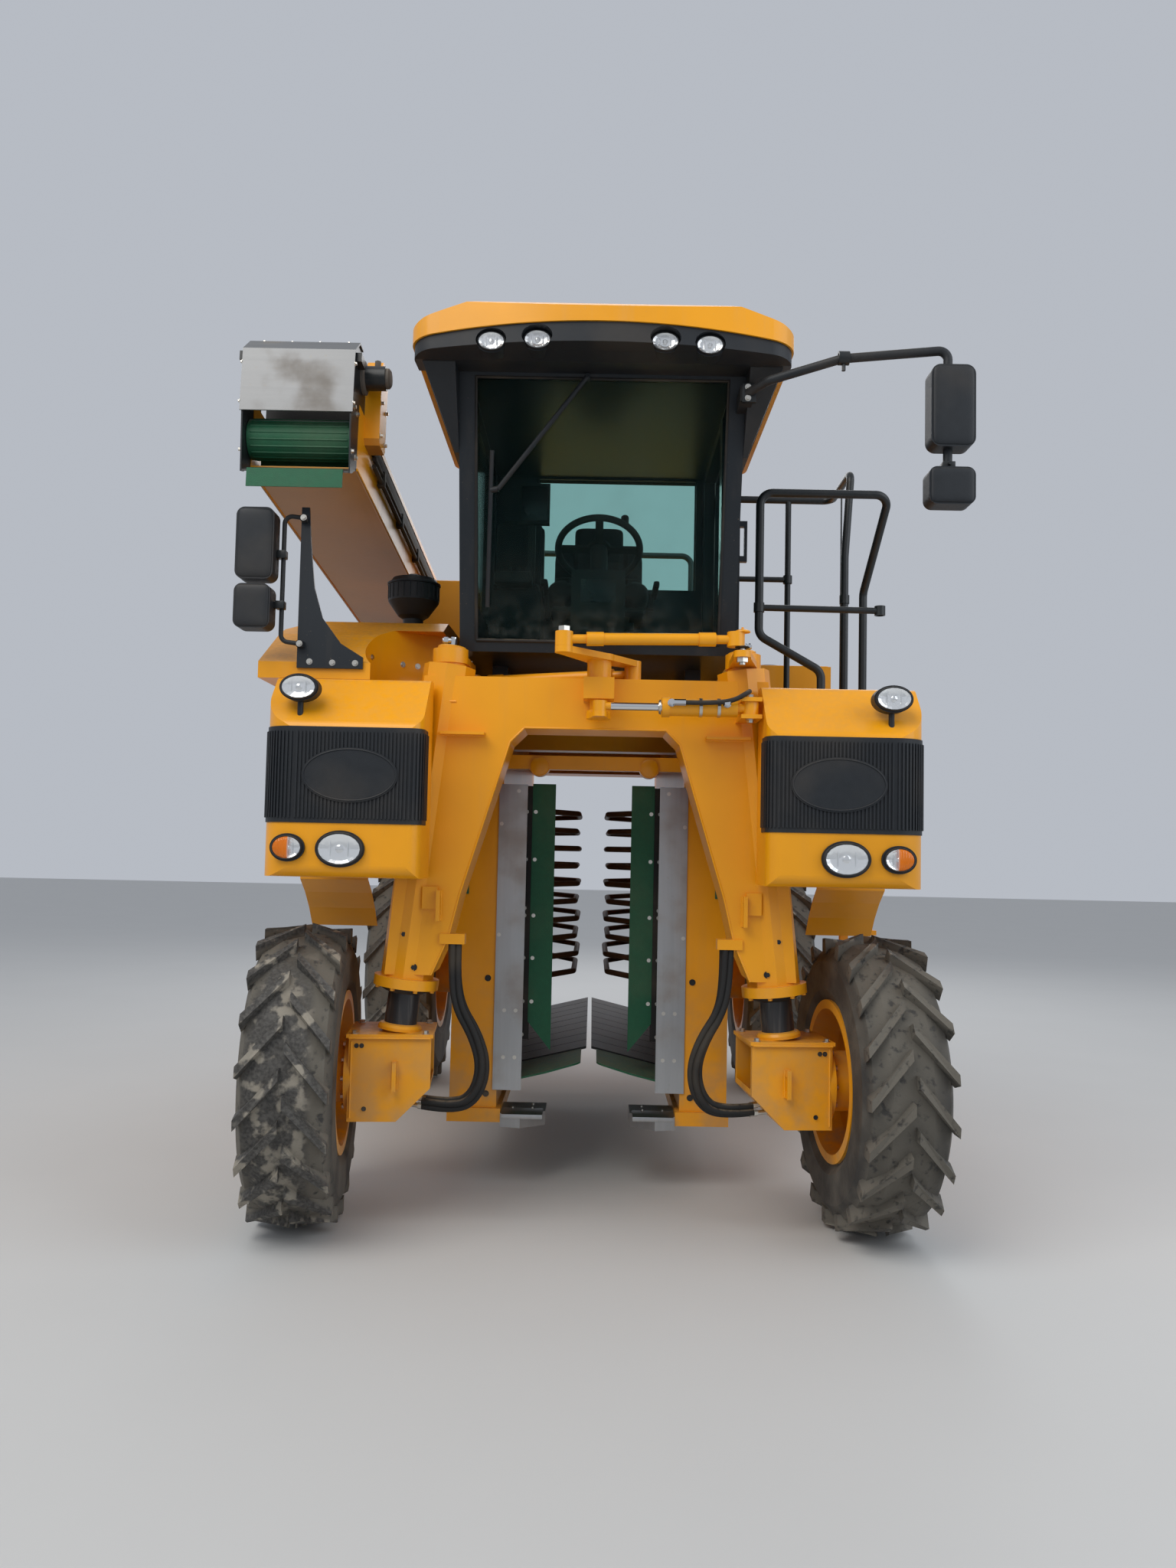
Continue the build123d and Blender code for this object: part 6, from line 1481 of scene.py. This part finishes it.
class HARVESTER_OT_walkway(bpy.types.Operator):
    """Grip rings, feet and clamps of the walkway, ladder and rails"""

    bl_idname = "harvester.walkway"
    bl_label = "Walkway"

    def execute(self, context):
        spots = []
        for step in range(6):
            z = 0.560 + step * 0.290 + 0.022
            for row in range(3):
                for column in range(10):
                    spots.append(((1.256 + row * 0.026, -1.395 + column * 0.0355, z), (0, 0, 1)))
        tree("grip").run(
            point_mesh(spots), "tread_grips", "yellow", "chassis", Radius=0.008, Height=0.0022
        )
        deck = []
        for row in range(11):
            for column in range(19):
                deck.append(((0.672 + row * 0.052, -1.920 + column * 0.052, 2.196), (0, 0, 1)))
        tree("grip").run(point_mesh(deck), "deck_grips", "yellow", "chassis", Radius=0.013, Height=0.0028)
        feet = Shape()
        bolts = []
        for x, y in ((0.958, -1.950), (1.205, -1.640), (1.150, -1.500), (0.960, -1.030)):
            collar = [(0.018, 0), (0.042, 0), (0.042, 0.006), (0.024, 0.012), (0.018, 0.012)]
            feet.turned((x, y, 2.1962), (0, 0, 1), collar, 32, hoop=True)
            bolts += ring_of((x, y, 2.2022), (0, 0, 1), 0.033, 3, 0.5)
        band = [(0.0175, 0), (0.023, 0), (0.023, 0.04), (0.0175, 0.04)]
        for x, y, z in (
            (0.690, -1.950, 2.560), (1.212, -1.930, 2.560), (0.960, -1.030, 2.900), (1.150, -1.500, 2.700)
        ):
            feet.turned((x, y, z - 0.02), (0, 0, 1), band, 24, hoop=True)
        feet.piece("rail_feet", "black", "chassis")
        tree("bolts").run(point_mesh(bolts), "rail_bolts", "zinc", "chassis", Radius=0.005, Height=0.004)
        base = [(0.022, 0), (0.022, 0.010), (0.009, 0.030), (0.006, 0.070), (0.0042, 0.075)]
        whip = Shape().turned((1.195, -1.200, 2.1962), (0, 0, 1), base, 20)
        whip.piece("whip_base", "rubber", "chassis")
        corners = ((0.645, -1.957), (1.232, -1.957), (1.232, -0.908), (0.645, -0.908))
        edge = [[(x, y, 2.199) for x, y in corners]]
        tree("bead").run(edge_mesh(edge), "deck_edge", "yellow", "chassis", Radius=0.006)
        return {"FINISHED"}


class HARVESTER_OT_sides(bpy.types.Operator):
    """Panels, louvres, latches and bolts of the tanks, cowl, elevators and fans"""

    bl_idname = "harvester.sides"
    bl_label = "Sides"

    def panel(self, shape, low, high, x):
        """Raised door on a side face at x, with its pressed rim."""
        out = 1 if x > 0 else -1
        near, far = sorted((x - out * 0.002, x + out * 0.007))
        shape.box((near, low[0], low[1]), (far, high[0], high[1]), 0.004)
        near, far = sorted((x + out * 0.005, x + out * 0.011))
        shape.box((near, low[0] + 0.05, low[1] + 0.05), (far, high[0] - 0.05, high[1] - 0.05), 0.004)

    def execute(self, context):
        doors, latches = Shape(), Shape()
        rows, lines = [], []
        for low, high, x in (
            ((-1.600, 1.490), (-0.860, 2.110), -1.235),
            ((-0.820, 1.490), (0.090, 2.110), -1.235),
            ((-0.990, 1.490), (0.090, 2.110), 1.235),
            ((-0.930, 2.200), (-0.180, 2.820), -0.930),
            ((-0.130, 2.200), (0.690, 2.820), -0.930),
        ):
            self.panel(doors, low, high, x)
            out = 1 if x > 0 else -1
            for y in (low[0] + 0.12, high[0] - 0.12):
                z = high[1] - 0.026
                near, far = sorted((x + out * 0.004, x + out * 0.026))
                latches.box((near, y - 0.035, z - 0.012), (far, y + 0.035, z + 0.012), 0.004)
                z = low[1] + 0.024
                latches.bar((x + out * 0.012, y - 0.045, z), (x + out * 0.012, y + 0.045, z), 0.009, 12)
            for y in (low[0] + 0.024, (low[0] + high[0]) / 2, high[0] - 0.024):
                rows.append(((x + out * 0.007, y, low[1] + 0.30), (out, 0, 0)))
                rows.append(((x + out * 0.007, y, low[1] + 0.024), (out, 0, 0)))
            middle = (low[0] + high[0]) / 2
            for index in range(8):
                z = low[1] + 0.16 + index * 0.042
                lines.append(((x + out * 0.014, middle, z), (out, 0, 0)))
        doors.piece("side_doors", "yellow", "chassis")
        latches.piece("door_latches", "black", "chassis")
        tree("ribs").run(
            point_mesh(lines), "side_louvres", "yellow", "chassis", smooth=0, Size=(0.420, 0.012, 0.016)
        )
        for x in (-0.56, -0.28, 0.0, 0.28, 0.56):
            rows += [((x, 1.000, 2.235), (0, 1, 0)), ((x, 1.000, 2.765), (0, 1, 0))]
        for z in (2.37, 2.50, 2.63):
            rows += [((-0.56, 1.000, z), (0, 1, 0)), ((0.56, 1.000, z), (0, 1, 0))]
        slope = Vector((0, 0.990, -0.1425))
        for index in range(9):
            share = 0.06 + index * 0.11
            y, z = 1.200 + 0.360 * share, 0.380 + 2.500 * share
            for x in (0.455, 0.618):
                rows += mirrored([(Vector((x, y, z)), slope)])
        for index in range(8):
            x = -1.29 + index * 0.27
            rows += [((x, 1.620, 3.275), (0, 1, 0)), ((x, 1.620, 3.085), (0, 1, 0))]
        for index in range(9):
            x = -0.80 + index * 0.20
            rows.append(((x, 2.690, 2.172), (0, 1, 0)))
        tree("bolts").run(point_mesh(rows), "side_bolts", "zinc", "chassis", Radius=0.009, Height=0.006)
        seams = [
            [
                (-0.590, -0.850, 2.8005), (0.590, -0.850, 2.8005), (0.590, 0.990, 2.8005),
                (-0.590, 0.990, 2.8005), (-0.590, -0.850, 2.8005),
            ],
            [(-0.590, 0.070, 2.8005), (0.590, 0.070, 2.8005)],
            [
                (-0.440, 1.0005, 2.300), (0.440, 1.0005, 2.300), (0.440, 1.0005, 2.720),
                (-0.440, 1.0005, 2.720), (-0.440, 1.0005, 2.300),
            ],
            [
                (-0.920, -0.975, 2.8705), (-0.635, -0.975, 2.8705), (-0.635, 0.730, 2.8705),
                (-0.920, 0.730, 2.8705), (-0.920, -0.975, 2.8705),
            ],
            [
                (0.640, -0.885, 2.4805), (1.195, -0.885, 2.4805), (1.195, 0.835, 2.4805),
                (0.640, 0.835, 2.4805), (0.640, -0.885, 2.4805),
            ],
        ]
        tree("bead").run(edge_mesh(seams), "cover_seams", "yellow", "chassis", Radius=0.005)
        lids = Shape()
        for x, y, z, radius in ((-0.780, -0.700, 2.870, 0.075), (0.920, -0.600, 2.480, 0.090)):
            lids.turned((x, y, z - 0.001), (0, 0, 1), [
                (radius, 0), (radius, 0.030), (radius * 0.92, 0.042), (radius * 0.4, 0.048), (0.0005, 0.049)
            ], 40)
            for turn in range(12):
                angle = 2 * pi * turn / 12
                spot = Vector((x + radius * cos(angle), y + radius * sin(angle), z))
                lids.bar(spot, spot + Vector((0, 0, 0.028)), 0.006, 8)
        lids.piece("filler_caps", "plastic", "chassis")
        guard = []
        for side in (1, -1):
            x = side * 0.902
            for radius in (0.06, 0.10, 0.14, 0.18, 0.22, 0.246):
                ring = []
                for index in range(37):
                    angle = 2 * pi * index / 36
                    ring.append((x, 1.880 + radius * cos(angle), 1.250 + radius * sin(angle)))
                guard.append(ring)
            for index in range(6):
                angle = pi * index / 6
                y, z = 0.246 * cos(angle), 0.246 * sin(angle)
                bar_x = x + side * 0.003
                guard.append([(bar_x, 1.880 - y, 1.250 - z), (bar_x, 1.880 + y, 1.250 + z)])
        tree("bead").run(edge_mesh(guard), "fan_guards", "black", "chassis", Radius=0.0026, Sides=6)
        knob = [(0.030, 0), (0.030, 0.006), (0.012, 0.010), (0.0005, 0.011)]
        mesh_top = Shape().turned((-0.845, -1.600, 2.7465), (0, 0, 1), knob, 24)
        for index in range(24):
            angle = 2 * pi * index / 24
            foot = Vector((-0.845 + 0.1145 * cos(angle), -1.600 + 0.1145 * sin(angle), 2.635))
            mesh_top.bar(foot, foot + Vector((0, 0, 0.062)), 0.004, 6)
        mesh_top.turned((-0.845, -1.600, 2.700), (0, 0, 1), [
            (0.1145, 0), (0.121, 0.002), (0.121, 0.010), (0.1145, 0.012)
        ], 48, hoop=True)
        mesh_top.piece("precleaner_ribs", "plastic", "chassis")
        return {"FINISHED"}


OPERATORS = (
    HARVESTER_OT_studio,
    HARVESTER_OT_finishes,
    HARVESTER_OT_leg_hoses,
    HARVESTER_OT_wheel_nuts,
    HARVESTER_OT_knuckles,
    HARVESTER_OT_linkage,
    HARVESTER_OT_grilles,
    HARVESTER_OT_lamps,
    HARVESTER_OT_cab,
    HARVESTER_OT_seats,
    HARVESTER_OT_mirrors,
    HARVESTER_OT_frame_bolts,
    HARVESTER_OT_arm,
    HARVESTER_OT_walkway,
    HARVESTER_OT_sides,
)


class HARVESTER_PT_panel(bpy.types.Panel):
    """Shows the harvester's settings and operators in the sidebar"""

    bl_idname = "HARVESTER_PT_panel"
    bl_label = "Grape harvester"
    bl_space_type = "VIEW_3D"
    bl_region_type = "UI"
    bl_category = "Harvester"

    def draw(self, context):
        for group in ("harvester_studio", "harvester_paint", "harvester_fasteners"):
            settings = getattr(context.scene, group)
            for key in settings.bl_rna.properties.keys():
                if key not in ("rna_type", "name"):
                    self.layout.prop(settings, key)
        for operator in OPERATORS:
            self.layout.operator(operator.bl_idname)


SETTINGS = {
    "harvester_studio": StudioSettings,
    "harvester_paint": PaintSettings,
    "harvester_fasteners": FastenerSettings,
}


def register():
    for name, group in SETTINGS.items():
        bpy.utils.register_class(group)
        setattr(bpy.types.Scene, name, PointerProperty(type=group))
    for operator in OPERATORS:
        bpy.utils.register_class(operator)
    bpy.utils.register_class(HARVESTER_PT_panel)


def unregister():
    bpy.utils.unregister_class(HARVESTER_PT_panel)
    for operator in reversed(OPERATORS):
        bpy.utils.unregister_class(operator)
    for name, group in SETTINGS.items():
        delattr(bpy.types.Scene, name)
        bpy.utils.unregister_class(group)


def main():
    register()
    for operator in OPERATORS:
        family, action = operator.bl_idname.split(".")
        getattr(getattr(bpy.ops, family), action)()


if __name__ == "__main__":
    main()
